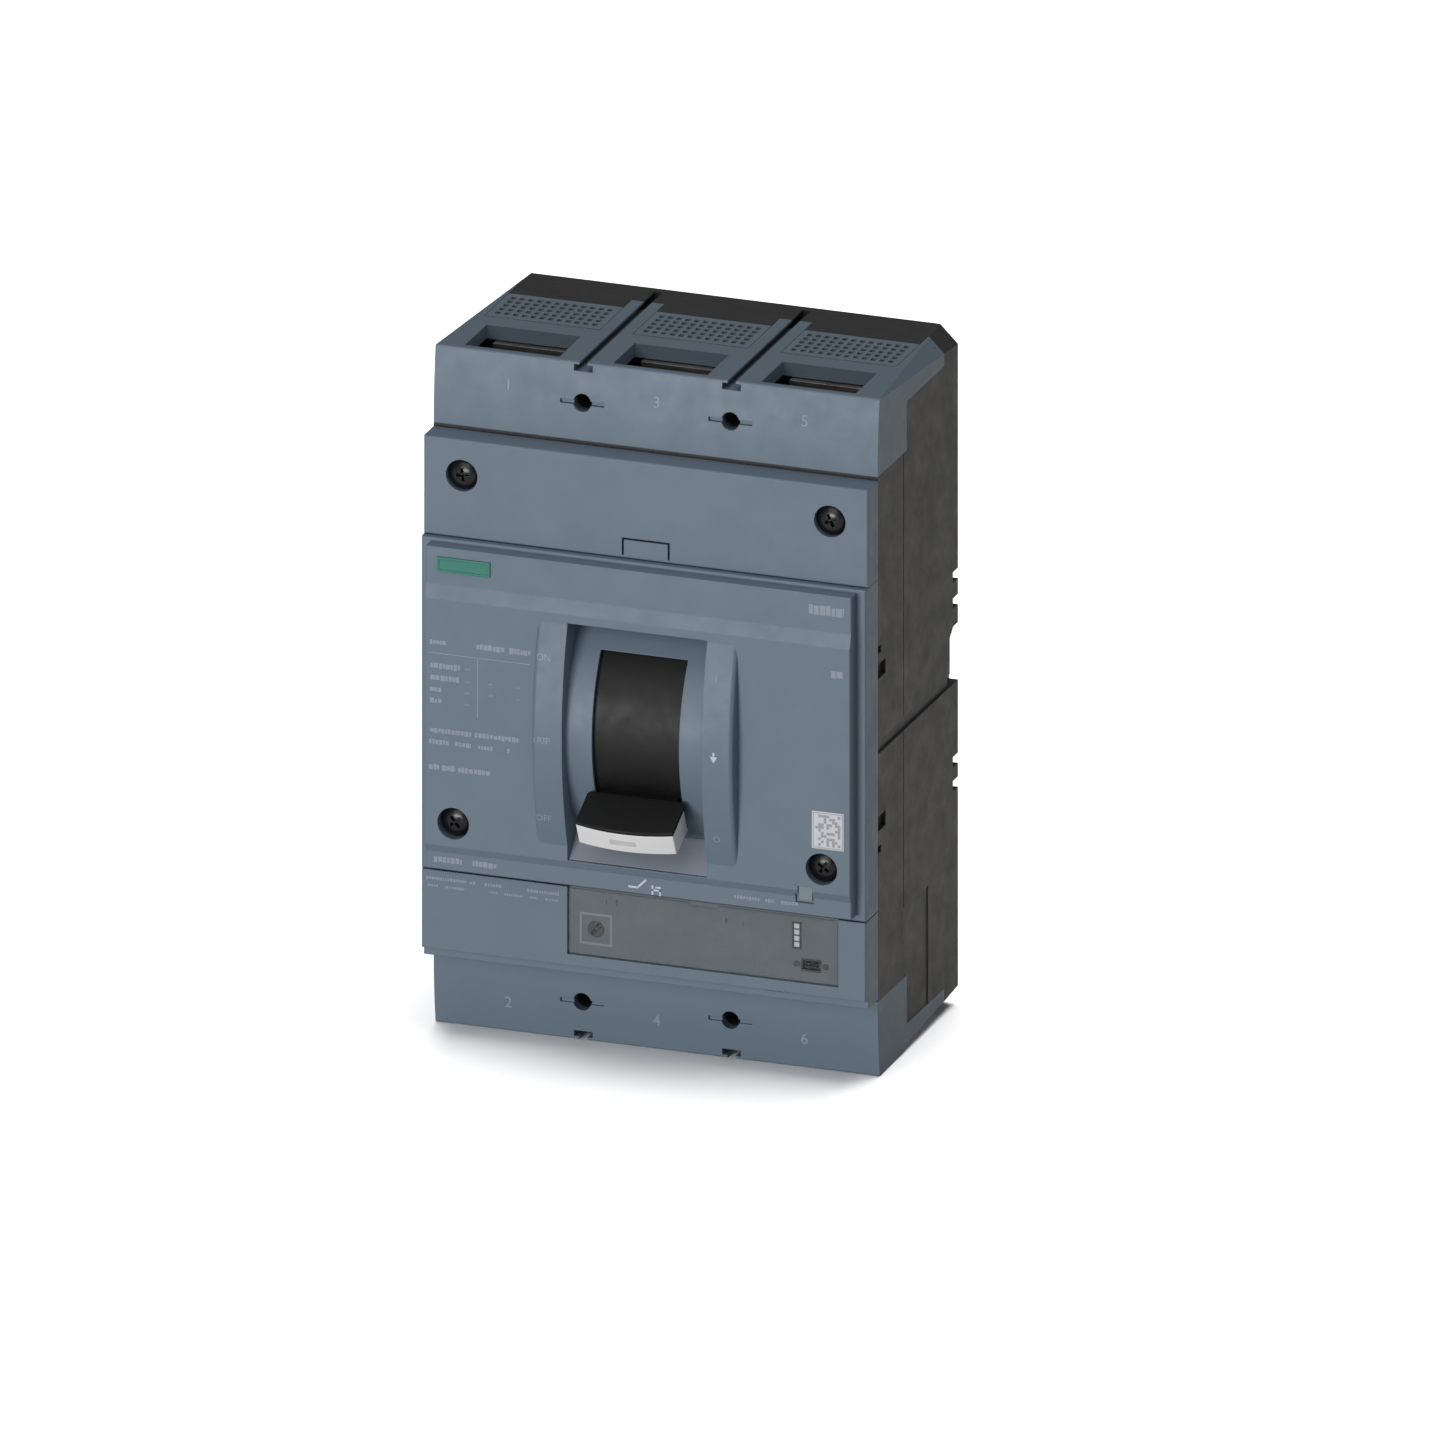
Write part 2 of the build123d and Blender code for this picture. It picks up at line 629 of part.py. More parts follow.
# Accessory cover: the upper strip, with a snap tongue at its lower edge
strip_top = nose_half - nose_gap
with BuildPart() as accessory_cover:
    with BuildSketch(Plane.XZ.offset(base_depth)):
        with Locations((0, (strip_top + accessory_base) / 2)):
            Rectangle(width, strip_top - accessory_base)
    extrude(amount=accessory_depth - base_depth)
    fillet(accessory_cover.faces().sort_by(Axis.Y)[0].edges(), cover_round)
    with BuildSketch(Plane.XZ.offset(base_depth)):
        with Locations((0, (strip_top + accessory_base) / 2)):
            Rectangle(width - 2 * cover_wall, strip_top - accessory_base - 2 * cover_wall)
    extrude(amount=accessory_depth - base_depth - cover_wall, mode=Mode.SUBTRACT)
    with BuildSketch(Plane.XZ.offset(base_depth)):
        with GridLocations(width - 2 * screw_inset, 0, 2, 1):
            with Locations((0, upper_screw_z)):
                Circle(screw_head / 2 + 2.5)
    extrude(amount=accessory_depth - base_depth - 1)
    with BuildSketch(Plane.XZ.offset(accessory_depth - 5)):
        with GridLocations(width - 2 * screw_inset, 0, 2, 1):
            with Locations((0, upper_screw_z)):
                Circle(screw_head / 2 + slide_fit)
    extrude(amount=20, mode=Mode.SUBTRACT)
    with BuildSketch(Plane.XZ.offset(base_depth - 1)):
        with GridLocations(width - 2 * screw_inset, 0, 2, 1):
            with Locations((0, upper_screw_z)):
                Circle(screw_shank / 2 + slide_fit)
        # Gap round three sides of the tongue
        with Locations((0, accessory_base + 1.4 + latch_height + latch_gap / 2)):
            Rectangle(latch_width + 2 * latch_gap, latch_gap)
        with Locations((0, accessory_base + 1.4 + (latch_height + latch_gap) / 2)):
            with GridLocations(latch_width + latch_gap, 0, 2, 1):
                Rectangle(latch_gap, latch_height + latch_gap)
    extrude(amount=40, mode=Mode.SUBTRACT)
accessory_cover.part.label = "accessory_cover"
export_step(accessory_cover.part, "parts/accessory_cover.step")

# Cover screws: large black heads with a hexagon socket
with BuildPart() as cover_screws:
    for screw_z, head_base in ((upper_screw_z, accessory_depth - 5), (lower_screw_z, panel_depth - 5)):
        with BuildSketch(Plane.XZ.offset(head_base)):
            with GridLocations(width - 2 * screw_inset, 0, 2, 1):
                with Locations((0, screw_z)):
                    Circle(screw_head / 2)
        extrude(amount=3.8)
        with BuildSketch(Plane.XZ.offset(head_base)):
            with GridLocations(width - 2 * screw_inset, 0, 2, 1):
                with Locations((0, screw_z)):
                    Circle(screw_shank / 2)
        extrude(amount=-22)
    top_rings = cover_screws.edges().filter_by(GeomType.CIRCLE).group_by(Axis.Y)
    fillet([edge for ring in (top_rings[0], top_rings[2]) for edge in ring], 0.8)
    for screw_z, head_base in ((upper_screw_z, accessory_depth - 5), (lower_screw_z, panel_depth - 5)):
        with BuildSketch(Plane.XZ.offset(head_base + 1)):
            with GridLocations(width - 2 * screw_inset, 0, 2, 1):
                with Locations((0, screw_z)):
                    RegularPolygon(3.6, 6)
        extrude(amount=10, mode=Mode.SUBTRACT)
cover_screws.part.label = "cover_screws"
export_step(cover_screws.part, "parts/cover_screws.step")

# Trip unit housing: full-width box with a shallow bay and a stepped lower lip
lip_top = -nose_half + 5.5
with BuildPart() as trip_unit_housing:
    with BuildSketch(Plane.YZ.offset(-width / 2)):
        with BuildLine():
            Polyline(
                (-base_depth, trip_unit_top - seam),
                (-cover_depth, trip_unit_top - seam),
                (-cover_depth, lip_top),
                (-cover_depth + 3.5, lip_top - 1.0),
                (-cover_depth + 3.5, -nose_half + 1),
                (-base_depth, -nose_half + 1),
                close=True,
            )
        make_face()
    extrude(amount=width)
    housing_edges = trip_unit_housing.edges().filter_by(Axis.Z).filter_by_position(
        Axis.Y, -cover_depth - 1, -cover_depth + 1
    )
    fillet(housing_edges, cover_round)
    with BuildSketch(Plane.XZ.offset(cover_depth - bay_depth)):
        with Locations(((bay_left + bay_right) / 2, (bay_base + trip_unit_top) / 2)):
            Rectangle(bay_right - bay_left, trip_unit_top - bay_base)
    extrude(amount=20, mode=Mode.SUBTRACT)
    with BuildSketch(Plane.XZ.offset(base_depth)):
        with Locations((0, (trip_unit_top - nose_half + 1) / 2)):
            Rectangle(width - 2 * cover_wall, trip_unit_height - 1 - 2 * cover_wall)
    extrude(amount=cover_rise - bay_depth - cover_wall, mode=Mode.SUBTRACT)
    with BuildSketch(Plane.XZ.offset(base_depth)):
        with Locations((knob_x, knob_z)):
            Circle(knob_diameter / 2 + run_fit)
        with Locations((port_x, port_z)):
            Rectangle(port_width, port_height)
    extrude(amount=20, mode=Mode.SUBTRACT)
trip_unit_housing.part.label = "trip_unit_housing"
export_step(trip_unit_housing.part, "parts/trip_unit_housing.step")

# Grey plate on the floor of the bay
with BuildPart() as trip_unit_faceplate:
    with BuildSketch(Plane.XZ.offset(cover_depth - bay_depth)):
        with Locations(((bay_left + bay_right) / 2, (bay_base + trip_unit_top - seam) / 2)):
            Rectangle(bay_right - bay_left - 2 * seam, bay_height - 3 * seam)
        with Locations((knob_x, knob_z)):
            Circle(knob_diameter / 2 + run_fit, mode=Mode.SUBTRACT)
        with Locations((port_x, port_z)):
            Rectangle(port_width, port_height, mode=Mode.SUBTRACT)
    extrude(amount=plate_thickness)
trip_unit_faceplate.part.label = "trip_unit_faceplate"
export_step(trip_unit_faceplate.part, "parts/trip_unit_faceplate.step")

# Clear cover over the bay, hinged along its lower edge
hinge_z = bay_base + 1.3
hinge_depth = cover_depth - 1.0
with BuildPart() as trip_unit_window:
    with BuildSketch(Plane.YZ.offset((bay_left + bay_right) / 2)):
        with Locations((-hinge_depth, (hinge_z + trip_unit_top - 1) / 2)):
            Rectangle(window_thickness, trip_unit_top - 1 - hinge_z)
        with Locations((-hinge_depth, hinge_z)):
            Circle(window_thickness / 2)
    extrude(amount=(bay_right - bay_left) / 2 - 2 * seam, both=True)
    with BuildSketch(Plane.XZ.offset(hinge_depth - window_thickness)):
        with Locations(((bay_left + bay_right) / 2, trip_unit_top - 1)):
            Rectangle(14, 3.0)
    extrude(amount=3 * window_thickness, mode=Mode.SUBTRACT)
trip_unit_window.part.label = "trip_unit_window"
export_step(trip_unit_window.part, "parts/trip_unit_window.step")

# Dial with an arrow slot
with BuildPart() as trip_unit_knob:
    with BuildSketch(Plane.XZ.offset(base_depth + 4)):
        with Locations((knob_x, knob_z)):
            Circle(knob_diameter / 2)
    extrude(amount=plate_front - base_depth - 4 + 0.2)
    with BuildSketch(Plane.XZ.offset(plate_front - 1.0)):
        with Locations((knob_x, knob_z)):
            Rectangle(knob_diameter - 1.5, 1.2, rotation=50)
            with Locations((1.6, 1.9)):
                Rectangle(1.8, 1.8)
    extrude(amount=4, mode=Mode.SUBTRACT)
trip_unit_knob.part.label = "trip_unit_knob"
export_step(trip_unit_knob.part, "parts/trip_unit_knob.step")

# Status lights and the service socket
with BuildPart() as status_leds:
    with BuildSketch(Plane.XZ.offset(plate_front)):
        with Locations((light_x, trip_unit_top - 10.3)):
            with GridLocations(0, light_pitch, 1, 4):
                Rectangle(2.4, 2.1)
    extrude(amount=0.3)
status_leds.part.label = "status_leds"
export_step(status_leds.part, "parts/status_leds.step")

with BuildPart() as test_port:
    with BuildSketch(Plane.XZ.offset(base_depth + 3.6)):
        with Locations((port_x, port_z)):
            Rectangle(port_width, port_height)
    extrude(amount=plate_front - base_depth - 3.6 + 0.2)
    with BuildSketch(Plane.XZ.offset(plate_front - 4)):
        with Locations((port_x, port_z)):
            Rectangle(port_width - 1.6, port_height - 1.6)
            with GridLocations(1.27, 1.6, 5, 2):
                Rectangle(0.6, 0.6, mode=Mode.SUBTRACT)
    extrude(amount=10, mode=Mode.SUBTRACT)
test_port.part.label = "test_port"
export_step(test_port.part, "parts/test_port.step")

with BuildPart() as trip_unit_board:
    with BuildSketch(Plane.XZ.offset(base_depth + 2.0)):
        with Locations(((bay_left + bay_right) / 2, trip_unit_top - cover_wall - 1 - board_height / 2)):
            Rectangle(bay_right - bay_left + 4, board_height)
    extrude(amount=1.6)
trip_unit_board.part.label = "trip_unit_board"
export_step(trip_unit_board.part, "parts/trip_unit_board.step")

# Blank badge and blank label
with BuildPart() as label_badge:
    with BuildSketch(Plane.XZ.offset(panel_depth)):
        with Locations((-panel_width / 2 + 18.0, panel_top - 7.9)):
            RectangleRounded(25.0, 7.0, 0.6)
    extrude(amount=0.5)
label_badge.part.label = "label_badge"
export_step(label_badge.part, "parts/label_badge.step")

with BuildPart() as info_label:
    with BuildSketch(Plane.XZ.offset(crown_depth)):
        with Locations((panel_width / 2 - 10.4, lower_screw_z + 18.6)):
            Rectangle(15.1, 17.7)
    extrude(amount=0.15)
info_label.part.label = "info_label"
export_step(info_label.part, "parts/info_label.step")

def grip_outline(half_width, reach):
    """Straight back and sides, with a front that bows out to its full reach in the middle."""
    with BuildSketch(mode=Mode.PRIVATE) as outline:
        with BuildLine():
            Polyline(
                (half_width, reach - grip_bow),
                (half_width, band_radius),
                (-half_width, band_radius),
                (-half_width, reach - grip_bow),
            )
            ThreePointArc((-half_width, reach - grip_bow), (0, reach), (half_width, reach - grip_bow))
        make_face()
    return outline.sketch_local


# Handle: root under the shutter, neck through it, wide grip outside
with BuildPart() as toggle_handle:
    with BuildSketch(handle_plane):
        with BuildLine():
            Polyline(
                (band_radius + 1.5, -grip_height / 2 - 0.8),
                (grip_radius, -grip_height / 2),
                (grip_radius, grip_height / 2),
                (band_radius + 1.5, grip_height / 2 + 0.8),
                close=True,
            )
        make_face()
    extrude(amount=grip_width / 2, both=True)
    with BuildSketch(grip_plane):
        add(grip_outline(grip_width / 2 - cap_wall, grip_radius))
    extrude(amount=grip_height, both=True, mode=Mode.INTERSECT)
    # Lid over the cap: full width and out to the front
    with BuildSketch(handle_plane):
        with BuildLine():
            Polyline(
                (band_radius + 1.5, -grip_height / 2 - 0.8),
                (grip_radius + cap_wall, -grip_height / 2 + 0.1),
                (grip_radius + cap_wall, -grip_height / 2 + 0.1 + grip_lid),
                (band_radius + 1.5, -grip_height / 2 - 0.8 + grip_lid),
                close=True,
            )
        make_face()
    extrude(amount=grip_width / 2, both=True)
    with BuildSketch(grip_plane):
        add(grip_outline(grip_width / 2, grip_radius + cap_wall))
    extrude(amount=grip_height, both=True, mode=Mode.INTERSECT)
    corner_edges = toggle_handle.edges().filter_by(Axis(grip_plane.origin, grip_plane.z_dir))
    fillet(corner_edges.group_by(Axis(handle_plane.origin, handle_plane.x_dir))[0], grip_back_round)
    fillet(toggle_handle.faces().sort_by(Axis(grip_plane.origin, grip_plane.z_dir))[0].edges(), grip_round)
    with BuildSketch(handle_plane):
        with Locations(((yoke_radius + 3 + root_radius) / 2, 0)):
            Rectangle(root_radius - yoke_radius - 3, 20.0)
    extrude(amount=neck_width / 2, both=True)
    with BuildSketch(handle_plane):
        with Locations(((yoke_radius + 4 + band_radius + 4) / 2, 0)):
            Rectangle(band_radius - yoke_radius, neck_height)
    extrude(amount=neck_width / 2, both=True)
toggle_handle.part.label = "toggle_handle"
export_step(toggle_handle.part, "parts/toggle_handle.step")

# White cap: over the front of the grip and round both its ends, under the lid
with BuildPart() as handle_cap:
    with BuildSketch(handle_plane):
        with BuildLine():
            Polyline(
                (band_radius + 5, -grip_height / 2 - 0.6 + grip_lid),
                (grip_radius + cap_wall, -grip_height / 2 + 0.15 + grip_lid),
                (grip_radius + cap_wall, grip_height / 2 - 0.4),
                (band_radius + 5, grip_height / 2 + 0.3),
                close=True,
            )
        make_face()
    extrude(amount=grip_width / 2, both=True)
    with BuildSketch(grip_plane):
        add(grip_outline(grip_width / 2, grip_radius + cap_wall))
    extrude(amount=grip_height, both=True, mode=Mode.INTERSECT)
    with BuildSketch(grip_plane):
        add(grip_outline(grip_width / 2 - cap_wall, grip_radius))
    extrude(amount=grip_height, both=True, mode=Mode.SUBTRACT)
    fillet(handle_cap.faces().filter_by(GeomType.CYLINDER).sort_by(Axis.Y)[0].edges(), grip_round)
handle_cap.part.label = "handle_cap"
export_step(handle_cap.part, "parts/handle_cap.step")

# Shutter: a thin curved sheet that fills the window on each side of the neck
with BuildPart() as handle_shutter:
    with BuildSketch(handle_plane):
        with BuildLine():
            outer_arc = CenterArc((0, 0), shutter_radius, -shutter_span, 2 * shutter_span)
            inner_arc = CenterArc((0, 0), shutter_radius - shutter_wall, -shutter_span, 2 * shutter_span)
            Line(outer_arc @ 0, inner_arc @ 0)
            Line(outer_arc @ 1, inner_arc @ 1)
        make_face()
    extrude(amount=shutter_width / 2, both=True)
    with BuildSketch(handle_plane):
        with Locations((shutter_radius, 0)):
            Rectangle(10, neck_height)
    extrude(amount=neck_width / 2, both=True, mode=Mode.SUBTRACT)
handle_shutter.part.label = "handle_shutter"
export_step(handle_shutter.part, "parts/handle_shutter.step")

# Yoke: two arms from the handle axis to a cross bar under the handle
with BuildPart() as handle_yoke:
    for side in (-1, 1):
        with BuildSketch(handle_plane.offset(side * arm_x)):
            Circle(7.0)
            with Locations(((yoke_radius + 3) / 2, 0)):
                Rectangle(yoke_radius + 3, 12.0)
            Circle(stud_radius + run_fit, mode=Mode.SUBTRACT)
        extrude(amount=side * 2.0)
    with BuildSketch(handle_plane):
        with Locations((yoke_radius + 1.5, 0)):
            Rectangle(3.0, 18.0)
    extrude(amount=arm_x + 1, both=True)
handle_yoke.part.label = "handle_yoke"
export_step(handle_yoke.part, "parts/handle_yoke.step")

# Trip button: cap and plunger
bar_arm_top = button_z + 2.0
plunger_back = bar_depth + bar_radius + 0.2
with BuildPart() as trip_button:
    with BuildSketch(Plane.XZ.offset(plunger_back)):
        with Locations((button_x, button_z)):
            Circle(2.0)
    extrude(amount=cover_depth - plunger_back)
    with BuildSketch(Plane.XZ.offset(cover_depth - 1.5)):
        with Locations((button_x, button_z)):
            Rectangle(button_size, button_size)
    extrude(amount=panel_rise + 2.2)
trip_button.part.label = "trip_button"
export_step(trip_button.part, "parts/trip_button.step")

# Trip bar: a shaft across all poles with an arm at the button and one at each pole
with BuildPart() as trip_bar:
    with BuildSketch(Plane.YZ.offset(-pole_pitch * 1.4)):
        with Locations((-bar_depth, bar_z)):
            Circle(bar_radius)
    extrude(amount=pole_pitch * 2.8)
    for arm_place in (button_x, -pole_pitch + 9):
        with BuildSketch(Plane.YZ.offset(arm_place - 3)):
            with Locations((-bar_depth - bar_radius + 1.0, (bar_z + bar_arm_top) / 2)):
                Rectangle(2.0, bar_arm_top - bar_z)
        extrude(amount=6)
trip_bar.part.label = "trip_bar"
export_step(trip_bar.part, "parts/trip_bar.step")

# Line and load conductors with their contact tips, one pair in each pole
pad_front = shelf_depth + bar_thickness
line_front = rotor_depth + bridge_thickness / 2 + 2 * tip_thickness + contact_gap + bar_thickness
load_back = rotor_depth - bridge_thickness / 2 - 2 * tip_thickness - contact_gap - bar_thickness
upper_tip_z = rotor_z + bridge_half - tip_height / 2
lower_tip_z = rotor_z - bridge_half + tip_height / 2
jog_z = chamber_half - seam
pad_end = shoulder + 6
transformer_depth = 22.0
for number, pole_x in enumerate(poles, start=1):
    with BuildPart() as line_conductor:
        with BuildSketch(Plane.YZ.offset(pole_x - bar_width / 2)):
            with BuildLine():
                Polyline(
                    (-line_front, upper_tip_z - tip_height / 2),
                    (-line_front + bar_thickness, upper_tip_z - tip_height / 2),
                    (-line_front + bar_thickness, jog_z),
                    (-shelf_depth, jog_z),
                    (-shelf_depth, pad_end),
                    (-pad_front, pad_end),
                    (-pad_front, jog_z - bar_thickness),
                    (-line_front, jog_z - bar_thickness),
                    close=True,
                )
            make_face()
        extrude(amount=bar_width)
        with BuildSketch(Plane.XZ):
            with Locations((pole_x, (nose_half + shoulder) / 2)):
                Circle(bolt_radius + 0.5)
        extrude(amount=base_depth, mode=Mode.SUBTRACT)
    line_conductor.part.label = f"line_conductor_{number}"
    export_step(line_conductor.part, f"parts/line_conductor_{number}.step")

    with BuildPart() as load_conductor:
        with BuildSketch(Plane.YZ.offset(pole_x - bar_width / 2)):
            with BuildLine():
                Polyline(
                    (-load_back, lower_tip_z + tip_height / 2),
                    (-load_back - bar_thickness, lower_tip_z + tip_height / 2),
                    (-load_back - bar_thickness, lower_tip_z - 16),
                    (-transformer_depth - bar_thickness / 2, lower_tip_z - 26),
                    (-transformer_depth - bar_thickness / 2, -jog_z + bar_thickness),
                    (-pad_front, -jog_z + bar_thickness),
                    (-pad_front, -pad_end),
                    (-shelf_depth, -pad_end),
                    (-shelf_depth, -jog_z),
                    (-transformer_depth + bar_thickness / 2, -jog_z),
                    (-transformer_depth + bar_thickness / 2, lower_tip_z - 22),
                    (-load_back, lower_tip_z - 12),
                    close=True,
                )
            make_face()
        extrude(amount=bar_width)
        with BuildSketch(Plane.XZ):
            with Locations((pole_x, -(nose_half + shoulder) / 2)):
                Circle(bolt_radius + 0.5)
        extrude(amount=base_depth, mode=Mode.SUBTRACT)
    load_conductor.part.label = f"load_conductor_{number}"
    export_step(load_conductor.part, f"parts/load_conductor_{number}.step")

    # Current transformer round the vertical run of the load conductor
    with BuildPart() as current_transformer:
        with BuildSketch(Plane.XY.offset(-chamber_half + 20)):
            with Locations((pole_x, -transformer_depth)):
                RectangleRounded(transformer_width, 34, 4)
                Rectangle(bar_width + 2, bar_thickness + 2, mode=Mode.SUBTRACT)
        extrude(amount=chamber_half - 20 + lower_tip_z - 32)
    current_transformer.part.label = f"current_transformer_{number}"
    export_step(current_transformer.part, f"parts/current_transformer_{number}.step")

    # Rotor barrel: journals in the dividers, a slot for the bridge and holes for the rods
    with BuildPart() as rotor_barrel:
        with BuildSketch(rotor_plane(pole_x)):
            Circle(barrel_radius)
        extrude(amount=barrel_width / 2, both=True)
        left_end = pole_pitch / 2 - seam if number > 1 else pole_pitch / 2 - divider
        right_end = pole_pitch / 2 - seam if number < 3 else pole_pitch / 2 - divider
        with BuildSketch(rotor_plane(pole_x - left_end)):
            Circle(journal_radius)
        extrude(amount=left_end + right_end)
        if number == 2:
            for side in (-1, 1):
                with BuildSketch(rotor_plane(pole_x + side * crank_x)):
                    with Locations(crank_local):
                        Circle(5.5)
                    with Locations(crank_local / 2):
                        Rectangle(crank_radius, 11, rotation=crank_angle)
                extrude(amount=side * lug_wall)
                with BuildSketch(rotor_plane(pole_x)):
                    with Locations(crank_local):
                        Circle(link_pin_radius)
                extrude(amount=side * 20, mode=Mode.SUBTRACT)
        with BuildSketch(rotor_plane(pole_x)):
            Rectangle(3 * barrel_radius, bridge_thickness + 2 * seam)
        extrude(amount=bridge_width / 2 + seam, both=True, mode=Mode.SUBTRACT)
        with BuildSketch(rotor_plane(pole_x)):
            with GridLocations(0, 2 * rod_offset, 1, 2):
                Circle(rod_radius)
        extrude(amount=pole_pitch / 2, both=True, mode=Mode.SUBTRACT)
    rotor_barrel.part.label = f"rotor_barrel_{number}"
    export_step(rotor_barrel.part, f"parts/rotor_barrel_{number}.step")

# Contact bridges and their tips, in line with the open rotor
for number, pole_x in enumerate(poles, start=1):
    with BuildPart() as contact_bridge:
        with BuildSketch(rotor_plane(pole_x)):
            RectangleRounded(2 * bridge_half, bridge_thickness, 1.0)
        extrude(amount=bridge_width / 2, both=True)
    contact_bridge.part.label = f"contact_bridge_{number}"
    export_step(contact_bridge.part, f"parts/contact_bridge_{number}.step")

tip_offset = bridge_half - tip_height / 2 - 1
with BuildPart() as moving_contact_tips:
    for pole_x in poles:
        for end in (-1, 1):
            with BuildSketch(rotor_plane(pole_x)):
                with Locations((end * tip_offset, end * (bridge_thickness + tip_thickness) / 2)):
                    Rectangle(tip_height, tip_thickness)
            extrude(amount=tip_width / 2, both=True)
moving_contact_tips.part.label = "moving_contact_tips"
export_step(moving_contact_tips.part, "parts/moving_contact_tips.step")

with BuildPart() as fixed_contact_tips:
    for pole_x in poles:
        for end in (-1, 1):
            with BuildSketch(Plane.YZ.offset(pole_x)):
                tip_depth = rotor_depth + end * (bridge_thickness / 2 + 1.5 * tip_thickness + contact_gap)
                with Locations((-tip_depth, rotor_z + end * tip_offset)):
                    Rectangle(tip_thickness, tip_height)
            extrude(amount=tip_width / 2 + 1, both=True)
fixed_contact_tips.part.label = "fixed_contact_tips"
export_step(fixed_contact_tips.part, "parts/fixed_contact_tips.step")

with BuildPart() as rotor_drive_rods:
    with BuildSketch(rotor_plane(-pole_pitch - barrel_width / 2 - 2)):
        with GridLocations(0, 2 * rod_offset, 1, 2):
            Circle(rod_radius)
    extrude(amount=2 * pole_pitch + barrel_width + 4)
rotor_drive_rods.part.label = "rotor_drive_rods"
export_step(rotor_drive_rods.part, "parts/rotor_drive_rods.step")

# Bearing caps: slide into the divider slots in front of the journals
with BuildPart() as rotor_bearing_caps:
    for gap_x in gaps:
        with BuildSketch(Plane.YZ.offset(gap_x - divider / 2)):
            with Locations((-(rotor_depth + bar_depth - 6) / 2, rotor_z)):
                Rectangle(bar_depth - 6 - rotor_depth, 2 * journal_radius)
            with Locations((-rotor_depth, rotor_z)):
                Circle(journal_radius + run_fit, mode=Mode.SUBTRACT)
        extrude(amount=divider)
rotor_bearing_caps.part.label = "rotor_bearing_caps"
export_step(rotor_bearing_caps.part, "parts/rotor_bearing_caps.step")

# Arc chutes: stacks of notched splitter plates between insulating frames
chute_half = chute_width / 2 - frame_wall
chutes = (
    ("upper", 18.0, 6, rotor_z + bridge_half + 4, chamber_half - 9),
    ("lower", 50.0, 6, -chamber_half + 60, rotor_z - bridge_half - 6),
)
for place, first_depth, plate_count, chute_base, chute_top in chutes:
    notch_z = chute_base if place == "upper" else chute_top
    with BuildPart() as arc_plates:
        for plate_index in range(plate_count):
            with BuildSketch(Plane.XZ.offset(first_depth + plate_index * plate_gap)):
                with Locations((0, (chute_base + chute_top) / 2)):
                    with GridLocations(pole_pitch, 0, 3, 1):
                        Rectangle(2 * chute_half, chute_top - chute_base)
                with Locations((0, notch_z)):
                    with GridLocations(pole_pitch, 0, 3, 1):
                        Rectangle(14, 18, rotation=45, mode=Mode.SUBTRACT)
            extrude(amount=arc_plate)
    arc_plates.part.label = f"{place}_arc_plates"
    export_step(arc_plates.part, f"parts/{place}_arc_plates.step")

with BuildPart() as arc_chute_frames:
    for place, first_depth, plate_count, chute_base, chute_top in chutes:
        stack = plate_count * plate_gap
        for pole_x in poles:
            for side in (-1, 1):
                with BuildSketch(Plane.YZ.offset(pole_x + side * chute_half)):
                    with Locations((-first_depth - stack / 2 + 2, (chute_base + chute_top) / 2)):
                        Rectangle(stack, chute_top - chute_base)
                extrude(amount=side * frame_wall)
arc_chute_frames.part.label = "arc_chute_frames"
export_step(arc_chute_frames.part, "parts/arc_chute_frames.step")

# Terminal bolts and their captive nuts
terminal_z = (nose_half + shoulder) / 2
with BuildPart() as terminal_bolts:
    with BuildSketch(Plane.XZ.offset(pad_front)):
        with GridLocations(pole_pitch, 2 * terminal_z, 3, 2):
            RegularPolygon(bolt_head / 2, 6, major_radius=False)
    extrude(amount=bolt_head_height)
    with BuildSketch(Plane.XZ.offset(pad_front)):
        with GridLocations(pole_pitch, 2 * terminal_z, 3, 2):
            Circle(bolt_radius)
    extrude(amount=-(bar_thickness + nut_thickness))
terminal_bolts.part.label = "terminal_bolts"
export_step(terminal_bolts.part, "parts/terminal_bolts.step")

with BuildPart() as terminal_nuts:
    with BuildSketch(Plane.XZ.offset(shelf_depth)):
        with GridLocations(pole_pitch, 2 * terminal_z, 3, 2):
            Rectangle(nut_size, nut_size)
            Circle(bolt_radius, mode=Mode.SUBTRACT)
    extrude(amount=-nut_thickness)
terminal_nuts.part.label = "terminal_nuts"
export_step(terminal_nuts.part, "parts/terminal_nuts.step")

